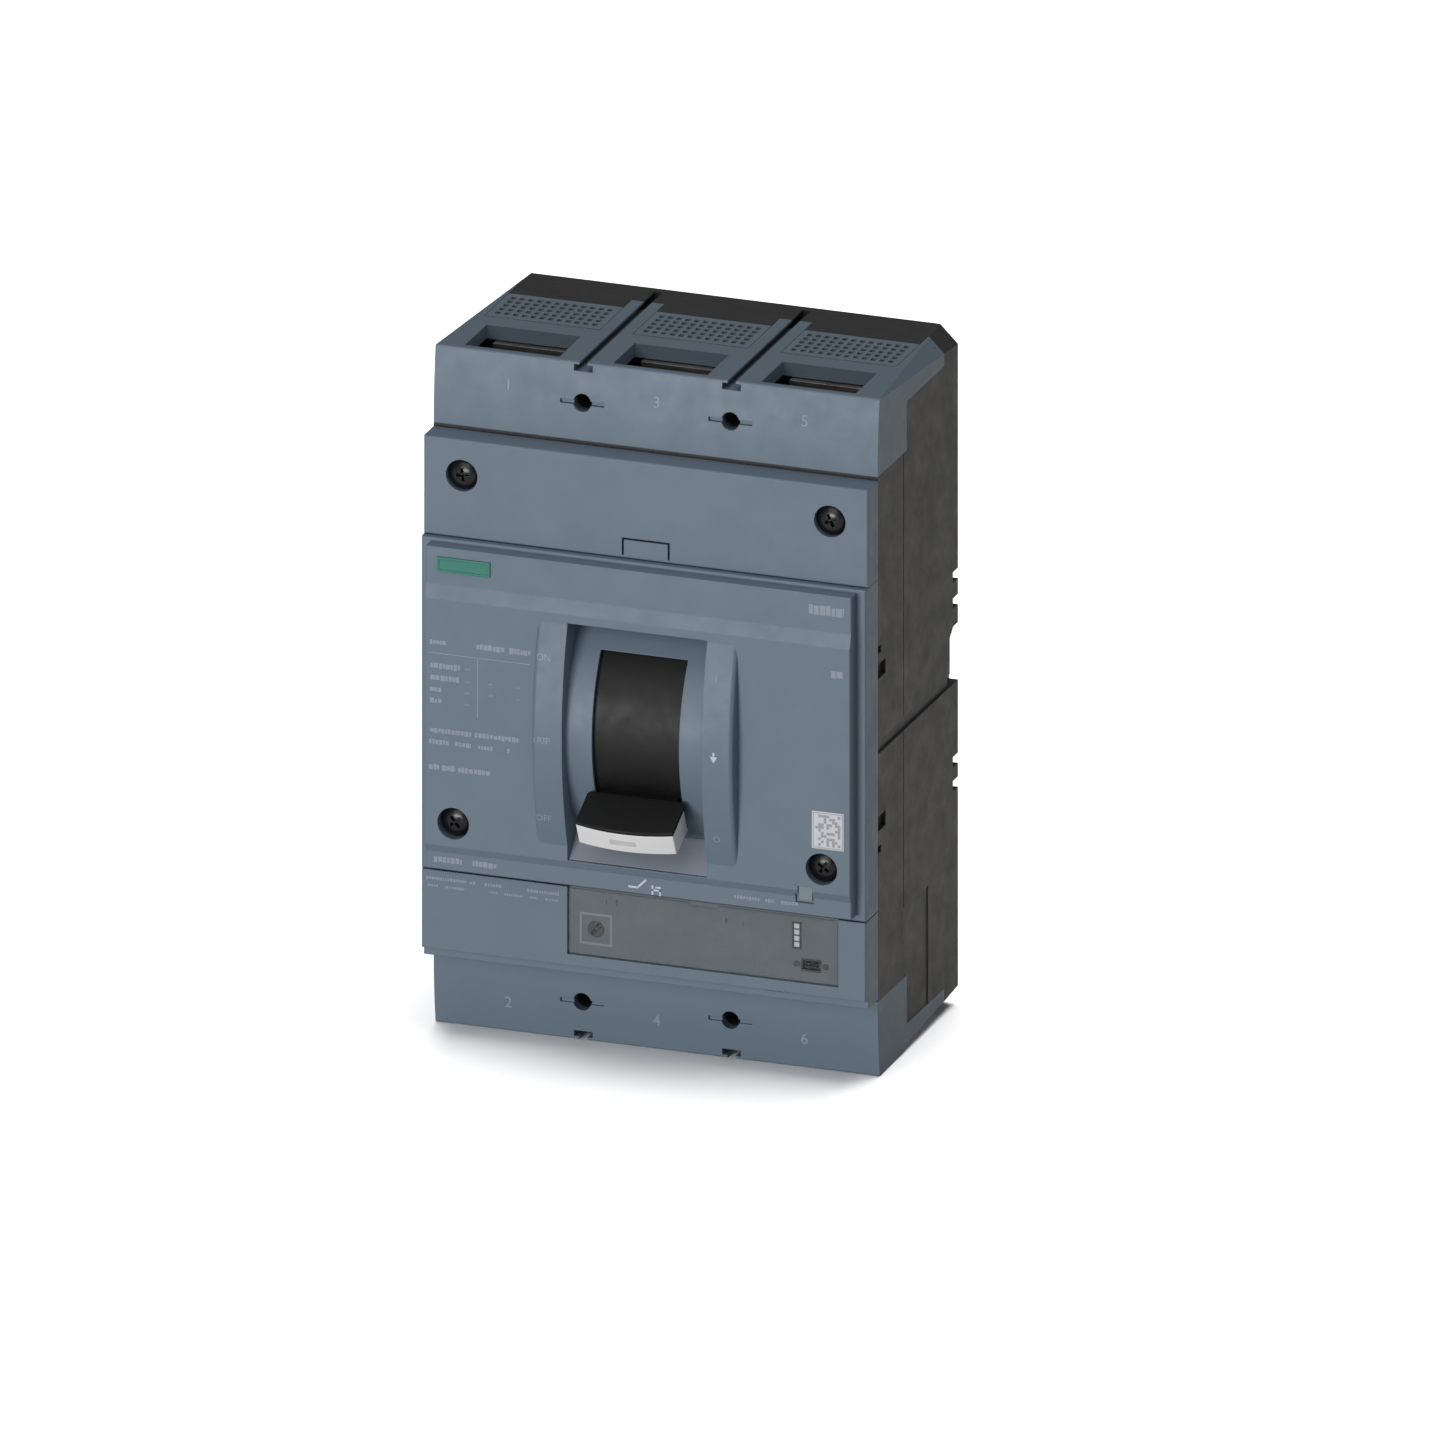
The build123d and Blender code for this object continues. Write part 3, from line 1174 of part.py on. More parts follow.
# Mechanism side plates, one each side of the middle pole
crank_rest, knee_rest = knee_point()
cradle_depth = rotor_depth + 20.0
cradle_z = rotor_z + 23.0
with BuildPart() as mechanism_side_plates:
    for side in (-1, 1):
        with BuildSketch(Plane.YZ.offset(side * side_plate_x)):
            with BuildLine():
                Polyline(
                    (-back_wall, pivot_height - 22),
                    (-back_wall, rotor_z + 20),
                    (-rotor_depth + 18, rotor_z + 30),
                    (-anchor_depth + 12, anchor_z + 9),
                    (-anchor_depth - 8, anchor_z + 6),
                    (-pivot_depth - 44, pivot_height + 45),
                    (-pivot_depth - 52, pivot_height + 18),
                    (-pivot_depth - 52, pivot_height - 18),
                    (-pivot_depth - 40, pivot_height - 48),
                    (-pivot_depth - 28, pivot_height - 59.5),
                    (-bar_depth + 5, bar_z + 4),
                    (-bar_depth - 5, bar_z + 3.7),
                    (-bar_depth - 5, bar_z - 5),
                    (-bar_depth + 10, bar_z - 5),
                    (-pivot_depth - 10, pivot_height - 52),
                    (-pivot_depth + 20, pivot_height - 28),
                    close=True,
                )
            make_face()
            with Locations((-rotor_depth, rotor_z)):
                Circle(journal_radius + 1, mode=Mode.SUBTRACT)
            with Locations((-pivot_depth, pivot_height)):
                Circle(stud_radius, mode=Mode.SUBTRACT)
            with Locations((-anchor_depth, anchor_z), (-cradle_depth, cradle_z)):
                Circle(link_pin_radius, mode=Mode.SUBTRACT)
            with Locations((-bar_depth, bar_z)):
                Circle(bar_radius + run_fit, mode=Mode.SUBTRACT)
        extrude(amount=side * side_plate_wall)
mechanism_side_plates.part.label = "mechanism_side_plates"
export_step(mechanism_side_plates.part, "parts/mechanism_side_plates.step")

with BuildPart() as mechanism_pins:
    with BuildSketch(Plane.YZ.offset(-side_plate_x - side_plate_wall)):
        with Locations((-anchor_depth, anchor_z), (-cradle_depth, cradle_z)):
            Circle(link_pin_radius)
    extrude(amount=2 * (side_plate_x + side_plate_wall))
    for side in (-1, 1):
        with BuildSketch(Plane.YZ.offset(side * (arm_x - 0.5))):
            with Locations((-pivot_depth, pivot_height)):
                Circle(stud_radius)
        extrude(amount=side * (side_plate_x + side_plate_wall - arm_x + 0.5))
mechanism_pins.part.label = "mechanism_pins"
export_step(mechanism_pins.part, "parts/mechanism_pins.step")

# Toggle links; the upper link's knee eye is enlarged
anchor_point = Vector(-anchor_depth, anchor_z)
knee = Vector(-knee_rest.X, knee_rest.Y)
crank_point = Vector(-crank_rest.X, crank_rest.Y)
upper_run = knee - anchor_point
lower_run = knee - crank_point
with BuildPart() as upper_links:
    for side in (-1, 1):
        with BuildSketch(Plane.YZ.offset(side * 14)):
            with Locations(anchor_point):
                Circle(5.5)
            with Locations((anchor_point + knee) / 2):
                Rectangle(link_length, 9, rotation=degrees(atan2(upper_run.Y, upper_run.X)))
            with Locations(knee):
                Circle(link_pin_radius + knee_clearance + 2.5)
                Circle(link_pin_radius + knee_clearance, mode=Mode.SUBTRACT)
            with Locations(anchor_point):
                Circle(link_pin_radius + run_fit, mode=Mode.SUBTRACT)
        extrude(amount=side * 2)
upper_links.part.label = "upper_links"
export_step(upper_links.part, "parts/upper_links.step")

with BuildPart() as lower_links:
    for side in (-1, 1):
        with BuildSketch(Plane.YZ.offset(side * 10)):
            with Locations(crank_point, knee):
                Circle(5.0)
            with Locations((crank_point + knee) / 2):
                Rectangle(link_length, 8, rotation=degrees(atan2(lower_run.Y, lower_run.X)))
            with Locations(crank_point):
                Circle(link_pin_radius + run_fit, mode=Mode.SUBTRACT)
        extrude(amount=side * 2)
    with BuildSketch(Plane.YZ):
        with Locations(knee):
            Circle(link_pin_radius)
    extrude(amount=arm_x - 2.5, both=True)
lower_links.part.label = "lower_links"
export_step(lower_links.part, "parts/lower_links.step")

with BuildPart() as crank_pin:
    with BuildSketch(Plane.YZ):
        with Locations(crank_point):
            Circle(link_pin_radius)
    extrude(amount=12.4, both=True)
crank_pin.part.label = "crank_pin"
export_step(crank_pin.part, "parts/crank_pin.step")

# Operating springs, from the knee pin to the yoke bar, each as a plain tube of its outer size
foot_angle = radians(handle_down)
foot = Vector(
    -pivot_depth - (yoke_radius - 0.5) * cos(foot_angle), pivot_height + (yoke_radius - 0.5) * sin(foot_angle)
)
spring_run = foot - knee
spring_dir = spring_run.normalized()
with BuildPart() as operating_springs:
    for side in (-1, 1):
        spring_plane = Plane(
            origin=(side * 20.4, knee.X + spring_dir.X * 4, knee.Y + spring_dir.Y * 4),
            x_dir=(1, 0, 0),
            z_dir=(0, spring_dir.X, spring_dir.Y),
        )
        with BuildSketch(spring_plane):
            Circle(coil_radius)
        extrude(amount=spring_run.length - 7)
operating_springs.part.label = "operating_springs"
export_step(operating_springs.part, "parts/operating_springs.step")

# Trip cradle: latch lever on its own pin
with BuildPart() as trip_cradle:
    with BuildSketch(Plane.YZ):
        with BuildLine():
            Polyline(
                (-cradle_depth, cradle_z - 2.5),
                (-cradle_depth - cradle_reach, cradle_z - 6.0),
                (-cradle_depth - cradle_reach, cradle_z - 1.5),
                (-cradle_depth - cradle_reach + 3, cradle_z - 1.5),
                (-cradle_depth, cradle_z + 2.5),
                close=True,
            )
        make_face()
        with Locations((-cradle_depth, cradle_z)):
            Circle(4.5)
            Circle(link_pin_radius + run_fit, mode=Mode.SUBTRACT)
    extrude(amount=2.5, both=True)
trip_cradle.part.label = "trip_cradle"
export_step(trip_cradle.part, "parts/trip_cradle.step")

# Trip actuator: a small solenoid behind the main cover, facing an arm of the trip bar
with BuildPart() as trip_actuator:
    with BuildSketch(Plane.XZ.offset(cover_depth - cover_wall)):
        with Locations((-pole_pitch + 9, button_z)):
            Circle(8.5)
    extrude(amount=-16)
    with BuildSketch(Plane.XZ.offset(cover_depth - cover_wall)):
        with Locations((-pole_pitch + 9, button_z)):
            Circle(1.6)
    extrude(amount=-(cover_depth - cover_wall - plunger_back))
trip_actuator.part.label = "trip_actuator"
export_step(trip_actuator.part, "parts/trip_actuator.step")
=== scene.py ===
import math
import random

import bmesh
import bpy
from mathutils import Matrix, Vector
from mathutils.bvhtree import BVHTree


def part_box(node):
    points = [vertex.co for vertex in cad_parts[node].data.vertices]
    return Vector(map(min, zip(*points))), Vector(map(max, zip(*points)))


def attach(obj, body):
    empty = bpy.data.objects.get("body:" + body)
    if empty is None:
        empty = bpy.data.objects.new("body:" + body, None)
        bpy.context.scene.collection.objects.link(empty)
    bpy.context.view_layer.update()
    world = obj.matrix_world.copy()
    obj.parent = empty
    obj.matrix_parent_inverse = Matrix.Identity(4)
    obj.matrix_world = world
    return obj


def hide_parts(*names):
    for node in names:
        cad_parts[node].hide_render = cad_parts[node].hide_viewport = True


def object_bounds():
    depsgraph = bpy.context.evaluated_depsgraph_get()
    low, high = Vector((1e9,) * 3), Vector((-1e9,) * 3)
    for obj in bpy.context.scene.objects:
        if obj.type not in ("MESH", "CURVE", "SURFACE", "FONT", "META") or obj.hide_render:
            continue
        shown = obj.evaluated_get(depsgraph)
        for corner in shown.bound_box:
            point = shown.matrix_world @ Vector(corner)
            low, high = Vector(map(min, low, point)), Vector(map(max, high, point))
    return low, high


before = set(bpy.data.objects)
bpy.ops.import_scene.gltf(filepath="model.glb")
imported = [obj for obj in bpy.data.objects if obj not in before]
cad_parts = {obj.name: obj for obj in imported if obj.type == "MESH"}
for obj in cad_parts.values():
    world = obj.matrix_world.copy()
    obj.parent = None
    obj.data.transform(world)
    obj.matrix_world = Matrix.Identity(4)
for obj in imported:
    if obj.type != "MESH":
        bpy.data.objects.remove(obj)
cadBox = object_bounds()
mm = 0.001
print("Breaker frame loaded:", len(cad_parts), "nodes")


# Shader node groups. Each puts out masks, values or normals that any finish can use.
def addNode(tree, kind, inputs=None, **settings):
    node = tree.nodes.new(kind)
    for key, value in settings.items():
        setattr(node, key, value)
    for key, value in (inputs or {}).items():
        if isinstance(value, bpy.types.NodeSocket):
            tree.links.new(value, node.inputs[key])
        else:
            node.inputs[key].default_value = value
    return node


def newGroup(name, inputs, outputs):
    tree = bpy.data.node_groups.new(name, "ShaderNodeTree")
    for label, value in inputs.items():
        kind = "NodeSocketVector" if label == "Vector" else "NodeSocketFloat"
        socket = tree.interface.new_socket(name=label, in_out="INPUT", socket_type=kind)
        if label != "Vector":
            socket.default_value = value
    for label in outputs:
        kind = "NodeSocketVector" if label == "Normal" else "NodeSocketFloat"
        tree.interface.new_socket(name=label, in_out="OUTPUT", socket_type=kind)
    return tree, tree.nodes.new("NodeGroupInput").outputs, tree.nodes.new("NodeGroupOutput").inputs


def mouldedGrainGroup():
    # spark-eroded mould texture: fine grain, flow mottle and handling sheen
    tree, given, result = newGroup(
        "mouldedGrain",
        {"Vector": None, "Grain": 1900.0, "Mottle": 26.0},
        ("Height", "Tone", "Sheen"),
    )
    grain = addNode(
        tree, "ShaderNodeTexNoise", {"Vector": given["Vector"], "Scale": given["Grain"], "Detail": 3.0},
    )
    pits = addNode(tree, "ShaderNodeTexVoronoi", {"Vector": given["Vector"], "Scale": given["Grain"]})
    mottle = addNode(
        tree, "ShaderNodeTexNoise",
        {"Vector": given["Vector"], "Scale": given["Mottle"], "Detail": 4.0, "Distortion": 0.6},
    )
    smear = addNode(
        tree, "ShaderNodeTexNoise",
        {"Vector": given["Vector"], "Scale": 90.0, "Detail": 2.0, "Roughness": 0.7},
    )
    height = addNode(
        tree, "ShaderNodeMath", {0: pits.outputs["Distance"], 1: 0.35, 2: grain.outputs[0]},
        operation="MULTIPLY_ADD",
    )
    tone = addNode(tree, "ShaderNodeMath", {0: grain.outputs[0], 1: 0.3}, operation="MULTIPLY")
    toneSum = addNode(
        tree, "ShaderNodeMath", {0: mottle.outputs[0], 1: 0.7, 2: tone.outputs[0]}, operation="MULTIPLY_ADD",
    )
    tree.links.new(height.outputs[0], result["Height"])
    tree.links.new(toneSum.outputs[0], result["Tone"])
    tree.links.new(smear.outputs[0], result["Sheen"])
    return tree


def softEdgeGroup():
    # rounded look of moulded and stamped edges, and the paler line that handling leaves on them
    tree, given, result = newGroup(
        "softEdges", {"Vector": None, "Radius": 0.0006, "Breakup": 320.0}, ("Normal", "Wear")
    )
    rounded = addNode(tree, "ShaderNodeBevel", {"Radius": given["Radius"]}, samples=4)
    flat = addNode(tree, "ShaderNodeNewGeometry")
    match = addNode(
        tree, "ShaderNodeVectorMath", {0: rounded.outputs[0], 1: flat.outputs["Normal"]},
        operation="DOT_PRODUCT",
    )
    edge = addNode(
        tree, "ShaderNodeMapRange", {"Value": match.outputs["Value"], "From Min": 0.995, "From Max": 0.86},
    )
    chips = addNode(
        tree, "ShaderNodeTexNoise", {"Vector": given["Vector"], "Scale": given["Breakup"], "Detail": 4.0},
    )
    patchy = addNode(
        tree, "ShaderNodeMapRange", {"Value": chips.outputs[0], "From Min": 0.38, "From Max": 0.66},
    )
    wear = addNode(tree, "ShaderNodeMath", {0: edge.outputs[0], 1: patchy.outputs[0]}, operation="MULTIPLY")
    tree.links.new(rounded.outputs[0], result["Normal"])
    tree.links.new(wear.outputs[0], result["Wear"])
    return tree


def settledDustGroup():
    # thin dust on faces that look up, broken up by air and fingers
    tree, given, result = newGroup("settledDust", {"Vector": None, "Cover": 0.5}, ("Mask",))
    flat = addNode(tree, "ShaderNodeNewGeometry")
    upward = addNode(tree, "ShaderNodeSeparateXYZ", {0: flat.outputs["Normal"]})
    level = addNode(
        tree, "ShaderNodeMapRange", {"Value": upward.outputs["Z"], "From Min": 0.35, "From Max": 1.0},
    )
    drift = addNode(
        tree, "ShaderNodeTexNoise",
        {"Vector": given["Vector"], "Scale": 55.0, "Detail": 5.0, "Roughness": 0.65},
    )
    patches = addNode(
        tree, "ShaderNodeMapRange", {"Value": drift.outputs[0], "From Min": 0.35, "From Max": 0.75},
    )
    mask = addNode(tree, "ShaderNodeMath", {0: level.outputs[0], 1: patches.outputs[0]}, operation="MULTIPLY")
    scaled = addNode(tree, "ShaderNodeMath", {0: mask.outputs[0], 1: given["Cover"]}, operation="MULTIPLY")
    tree.links.new(scaled.outputs[0], result["Mask"])
    return tree


def drawnMetalGroup():
    # long fine lines of rolled, drawn or brushed metal with cloudy tarnish
    tree, given, result = newGroup(
        "drawnMetal", {"Vector": None, "Lines": 2600.0, "Cloud": 60.0}, ("Height", "Tarnish", "Streak")
    )
    stretch = addNode(tree, "ShaderNodeMapping", {"Vector": given["Vector"], "Scale": (0.04, 1.0, 1.0)})
    lines = addNode(
        tree, "ShaderNodeTexNoise", {"Vector": stretch.outputs[0], "Scale": given["Lines"], "Detail": 3.0},
    )
    cloud = addNode(
        tree, "ShaderNodeTexNoise",
        {"Vector": given["Vector"], "Scale": given["Cloud"], "Detail": 5.0, "Distortion": 1.2},
    )
    patches = addNode(
        tree, "ShaderNodeMapRange", {"Value": cloud.outputs[0], "From Min": 0.36, "From Max": 0.7},
    )
    tree.links.new(lines.outputs[0], result["Height"])
    tree.links.new(lines.outputs[0], result["Streak"])
    tree.links.new(patches.outputs[0], result["Tarnish"])
    return tree


def hairScratchGroup():
    # crossing hair scratches, used on the clear window
    tree, given, result = newGroup("hairScratches", {"Vector": None, "Density": 420.0}, ("Mask",))
    masks = []
    for turn in (0.5, 2.1):
        lay = addNode(
            tree, "ShaderNodeMapping",
            {
                "Vector": given["Vector"], "Rotation": (turn, turn * 1.7, turn * 0.6),
                "Scale": (0.05, 1.0, 1.0),
            },
        )
        hair = addNode(
            tree, "ShaderNodeTexNoise", {"Vector": lay.outputs[0], "Scale": given["Density"], "Detail": 1.0},
        )
        masks.append(
            addNode(
                tree, "ShaderNodeMapRange", {"Value": hair.outputs[0], "From Min": 0.66, "From Max": 0.72},
            )
        )
    both = addNode(
        tree, "ShaderNodeMath", {0: masks[0].outputs[0], 1: masks[1].outputs[0]}, operation="MAXIMUM",
    )
    tree.links.new(both.outputs[0], result["Mask"])
    return tree


dustColour = (0.42, 0.41, 0.39, 1.0)
grainDepth = 0.00006
lineDepth = 0.00004
groups = {
    "grain": mouldedGrainGroup(),
    "edges": softEdgeGroup(),
    "dust": settledDustGroup(),
    "metal": drawnMetalGroup(),
    "scratches": hairScratchGroup(),
}


def useGroup(tree, key, **inputs):
    node = tree.nodes.new("ShaderNodeGroup")
    node.node_tree = groups[key]
    for label, value in inputs.items():
        if isinstance(value, bpy.types.NodeSocket):
            tree.links.new(value, node.inputs[label])
        else:
            node.inputs[label].default_value = value
    return node.outputs


def mixColour(tree, factor, first, second):
    node = tree.nodes.new("ShaderNodeMix")
    node.data_type = "RGBA"
    for socket, value in ((node.inputs[0], factor), (node.inputs[6], first), (node.inputs[7], second)):
        if isinstance(value, bpy.types.NodeSocket):
            tree.links.new(value, socket)
        else:
            socket.default_value = value
    return node.outputs[2]


def startFinish(name):
    material = bpy.data.materials.new(name)
    material.use_nodes = True
    tree = material.node_tree
    tree.nodes.clear()
    output = addNode(tree, "ShaderNodeOutputMaterial")
    shader = addNode(tree, "ShaderNodeBsdfPrincipled")
    tree.links.new(shader.outputs[0], output.inputs[0])
    place = addNode(tree, "ShaderNodeTexCoord").outputs["Object"]
    return material, tree, shader, place, output


def colour(red, green, blue):
    return (red, green, blue, 1.0)


def plasticFinish(name, look):
    material, tree, shader, place, output = startFinish(name)
    grain = useGroup(
        tree, "grain", Vector=place, Grain=look.get("grain", 1900.0), Mottle=look.get("mottle", 26.0),
    )
    edges = useGroup(tree, "edges", Vector=place, Radius=look.get("edgeRadius", 0.0005))
    base = mixColour(tree, grain["Tone"], look["dark"], look["light"])
    worn = addNode(
        tree, "ShaderNodeMath", {0: edges["Wear"], 1: look.get("wear", 0.35)}, operation="MULTIPLY",
    )
    base = mixColour(tree, worn.outputs[0], base, look["worn"])
    if look.get("dust", 0):
        dust = useGroup(tree, "dust", Vector=place, Cover=look["dust"])
        base = mixColour(tree, dust["Mask"], base, dustColour)
    tree.links.new(base, shader.inputs["Base Color"])
    low, high = look.get("rough", (0.42, 0.56))
    rough = addNode(
        tree, "ShaderNodeMapRange",
        {"Value": grain["Sheen"], "From Min": 0.3, "From Max": 0.7, "To Min": low, "To Max": high},
    )
    tree.links.new(rough.outputs[0], shader.inputs["Roughness"])
    bump = addNode(
        tree, "ShaderNodeBump",
        {
            "Height": grain["Height"], "Normal": edges["Normal"], "Strength": look.get("bump", 0.35),
            "Distance": grainDepth,
        },
    )
    tree.links.new(bump.outputs[0], shader.inputs["Normal"])
    shader.inputs["Specular IOR Level"].default_value = look.get("specular", 0.45)
    if look.get("coat", 0):
        shader.inputs["Coat Weight"].default_value = look["coat"]
        shader.inputs["Coat Roughness"].default_value = look.get("coatRough", 0.12)
    return material


def metalFinish(name, look):
    material, tree, shader, place, output = startFinish(name)
    metal = useGroup(
        tree, "metal", Vector=place, Lines=look.get("lines", 2600.0), Cloud=look.get("cloud", 60.0),
    )
    edges = useGroup(tree, "edges", Vector=place, Radius=look.get("edgeRadius", 0.0003))
    tarnish = addNode(
        tree, "ShaderNodeMath", {0: metal["Tarnish"], 1: look.get("tarnish", 0.5)}, operation="MULTIPLY",
    )
    base = mixColour(tree, tarnish.outputs[0], look["light"], look["dark"])
    base = mixColour(tree, edges["Wear"], base, look["worn"])
    tree.links.new(base, shader.inputs["Base Color"])
    low, high = look.get("rough", (0.28, 0.46))
    rough = addNode(
        tree, "ShaderNodeMapRange",
        {"Value": metal["Streak"], "From Min": 0.3, "From Max": 0.7, "To Min": low, "To Max": high},
    )
    tree.links.new(rough.outputs[0], shader.inputs["Roughness"])
    bump = addNode(
        tree, "ShaderNodeBump",
        {
            "Height": metal["Height"], "Normal": edges["Normal"], "Strength": look.get("bump", 0.3),
            "Distance": lineDepth,
        },
    )
    tree.links.new(bump.outputs[0], shader.inputs["Normal"])
    shader.inputs["Metallic"].default_value = look.get("metallic", 1.0)
    shader.inputs["Specular IOR Level"].default_value = look.get("specular", 0.5)
    return material


def windowFinish(name, look):
    material, tree, shader, place, output = startFinish(name)
    scratches = useGroup(tree, "scratches", Vector=place, Density=look["scratches"])
    grain = useGroup(tree, "grain", Vector=place, Grain=300.0, Mottle=18.0)
    rough = addNode(
        tree, "ShaderNodeMapRange",
        {"Value": scratches["Mask"], "To Min": look["rough"][0], "To Max": look["rough"][1]},
    )
    tree.links.new(rough.outputs[0], shader.inputs["Roughness"])
    tint = mixColour(tree, grain["Tone"], look["dark"], look["light"])
    tree.links.new(tint, shader.inputs["Base Color"])
    bump = addNode(
        tree, "ShaderNodeBump", {"Height": scratches["Mask"], "Strength": 0.04, "Distance": 0.00001},
    )
    tree.links.new(bump.outputs[0], shader.inputs["Normal"])
    shader.inputs["Transmission Weight"].default_value = 1.0
    shader.inputs["IOR"].default_value = 1.46
    clear = addNode(tree, "ShaderNodeBsdfTransparent", {"Color": look["shade"]})
    path = addNode(tree, "ShaderNodeLightPath")
    mix = addNode(
        tree, "ShaderNodeMixShader",
        {0: path.outputs["Is Camera Ray"], 1: clear.outputs[0], 2: shader.outputs[0]},
    )
    tree.links.new(mix.outputs[0], output.inputs[0])
    return material


plasticLooks = {
    "housing_charcoal": {
        "dark": colour(0.025, 0.0252, 0.0258), "light": colour(0.035, 0.0352, 0.036),
        "worn": colour(0.17, 0.17, 0.17), "rough": (0.5, 0.62), "wear": 0.2, "dust": 0.02,
    },
    "cover_blue_grey": {
        "dark": colour(0.128, 0.178, 0.232), "light": colour(0.152, 0.205, 0.262),
        "worn": colour(0.3, 0.37, 0.44), "rough": (0.44, 0.54), "wear": 0.25, "dust": 0.02,
    },
    "grille_grey": {
        "dark": colour(0.135, 0.18, 0.225), "light": colour(0.17, 0.22, 0.27),
        "worn": colour(0.3, 0.36, 0.42), "rough": (0.42, 0.56), "edgeRadius": 0.0002,
    },
    "plate_grey": {
        "dark": colour(0.128, 0.146, 0.156), "light": colour(0.15, 0.168, 0.178),
        "worn": colour(0.3, 0.3, 0.3), "rough": (0.45, 0.6), "grain": 2600.0,
    },
    "knob_dark": {
        "dark": colour(0.018, 0.02, 0.02), "light": colour(0.04, 0.042, 0.042),
        "worn": colour(0.16, 0.16, 0.16), "rough": (0.35, 0.5),
    },
    "light_white": {
        "dark": colour(0.7, 0.73, 0.75), "light": colour(0.8, 0.83, 0.85), "worn": colour(0.9, 0.9, 0.9),
        "rough": (0.15, 0.25), "bump": 0.1, "coat": 0.6,
    },
    "board_green": {
        "dark": colour(0.012, 0.09, 0.035), "light": colour(0.02, 0.13, 0.05),
        "worn": colour(0.1, 0.25, 0.12), "rough": (0.25, 0.4), "coat": 0.4,
    },
    "badge_teal": {
        "dark": colour(0.006, 0.165, 0.125), "light": colour(0.012, 0.215, 0.16),
        "worn": colour(0.15, 0.4, 0.33), "rough": (0.28, 0.4), "coat": 0.35, "bump": 0.15,
    },
    "label_white": {
        "dark": colour(0.62, 0.64, 0.69), "light": colour(0.72, 0.74, 0.79), "worn": colour(0.85, 0.85, 0.85),
        "rough": (0.5, 0.65), "bump": 0.15,
    },
    "grip_black": {
        "dark": colour(0.0025, 0.0025, 0.0026), "light": colour(0.005, 0.0049, 0.005),
        "worn": colour(0.05, 0.05, 0.05), "rough": (0.42, 0.52), "wear": 0.25, "bump": 0.25, "specular": 0.26,
    },
    "cap_white": {
        "dark": colour(0.88, 0.87, 0.88), "light": colour(0.95, 0.94, 0.95), "worn": colour(0.96, 0.96, 0.96),
        "rough": (0.3, 0.42), "coat": 0.25, "bump": 0.15,
    },
    "button_grey": {
        "dark": colour(0.18, 0.23, 0.28), "light": colour(0.22, 0.27, 0.32), "worn": colour(0.4, 0.45, 0.5),
        "rough": (0.38, 0.5),
    },
    "rotor_resin": {
        "dark": colour(0.15, 0.065, 0.03), "light": colour(0.27, 0.125, 0.06),
        "worn": colour(0.4, 0.24, 0.14), "rough": (0.42, 0.58), "mottle": 60.0,
    },
    "arc_fibre": {
        "dark": colour(0.48, 0.4, 0.29), "light": colour(0.66, 0.56, 0.42), "worn": colour(0.75, 0.67, 0.55),
        "rough": (0.7, 0.85), "mottle": 90.0, "grain": 900.0, "bump": 0.6,
    },
    "coil_resin": {
        "dark": colour(0.022, 0.03, 0.055), "light": colour(0.04, 0.052, 0.085),
        "worn": colour(0.15, 0.17, 0.22), "rough": (0.3, 0.45), "coat": 0.3,
    },
    "paleInk": {
        "dark": colour(0.24, 0.29, 0.35), "light": colour(0.32, 0.37, 0.44), "worn": colour(0.4, 0.45, 0.5),
        "rough": (0.45, 0.6), "grain": 3200.0, "bump": 0.1, "edgeRadius": 0.00005,
    },
    "whiteInk": {
        "dark": colour(0.56, 0.62, 0.7), "light": colour(0.7, 0.76, 0.84), "worn": colour(0.7, 0.7, 0.7),
        "rough": (0.45, 0.6), "grain": 3200.0, "bump": 0.1, "edgeRadius": 0.00005,
    },
    "greyInk": {
        "dark": colour(0.3, 0.3, 0.33), "light": colour(0.42, 0.42, 0.46), "worn": colour(0.45, 0.45, 0.45),
        "rough": (0.45, 0.6), "grain": 3200.0, "bump": 0.1, "edgeRadius": 0.00005,
    },
    "darkInk": {
        "dark": colour(0.045, 0.055, 0.06), "light": colour(0.07, 0.08, 0.088), "worn": colour(0.1, 0.1, 0.1),
        "rough": (0.45, 0.6), "grain": 3200.0, "bump": 0.1, "edgeRadius": 0.00005,
    },
    "bracketInk": {
        "dark": colour(0.012, 0.02, 0.03), "light": colour(0.022, 0.032, 0.045),
        "worn": colour(0.08, 0.08, 0.08), "rough": (0.45, 0.6), "grain": 3200.0, "bump": 0.1,
        "edgeRadius": 0.00005,
    },
    "capInk": {
        "dark": colour(0.55, 0.56, 0.55), "light": colour(0.78, 0.78, 0.78), "worn": colour(0.85, 0.85, 0.85),
        "rough": (0.35, 0.5), "grain": 3200.0, "mottle": 420.0, "bump": 0.1, "edgeRadius": 0.00005,
    },
    # painted light: a brightened copy of the blue-grey cover colour, standing in for the light that falls on
    # the sloped opening ledge
    "ledgePaintedLightGrey": {
        "dark": colour(0.24, 0.275, 0.33), "light": colour(0.28, 0.315, 0.375),
        "worn": colour(0.3, 0.37, 0.44), "rough": (0.4, 0.5), "wear": 0.25,
    },
    "frameGrey": {
        "dark": colour(0.23, 0.26, 0.29), "light": colour(0.28, 0.31, 0.34), "worn": colour(0.4, 0.4, 0.4),
        "rough": (0.4, 0.55), "edgeRadius": 0.0001,
    },
}
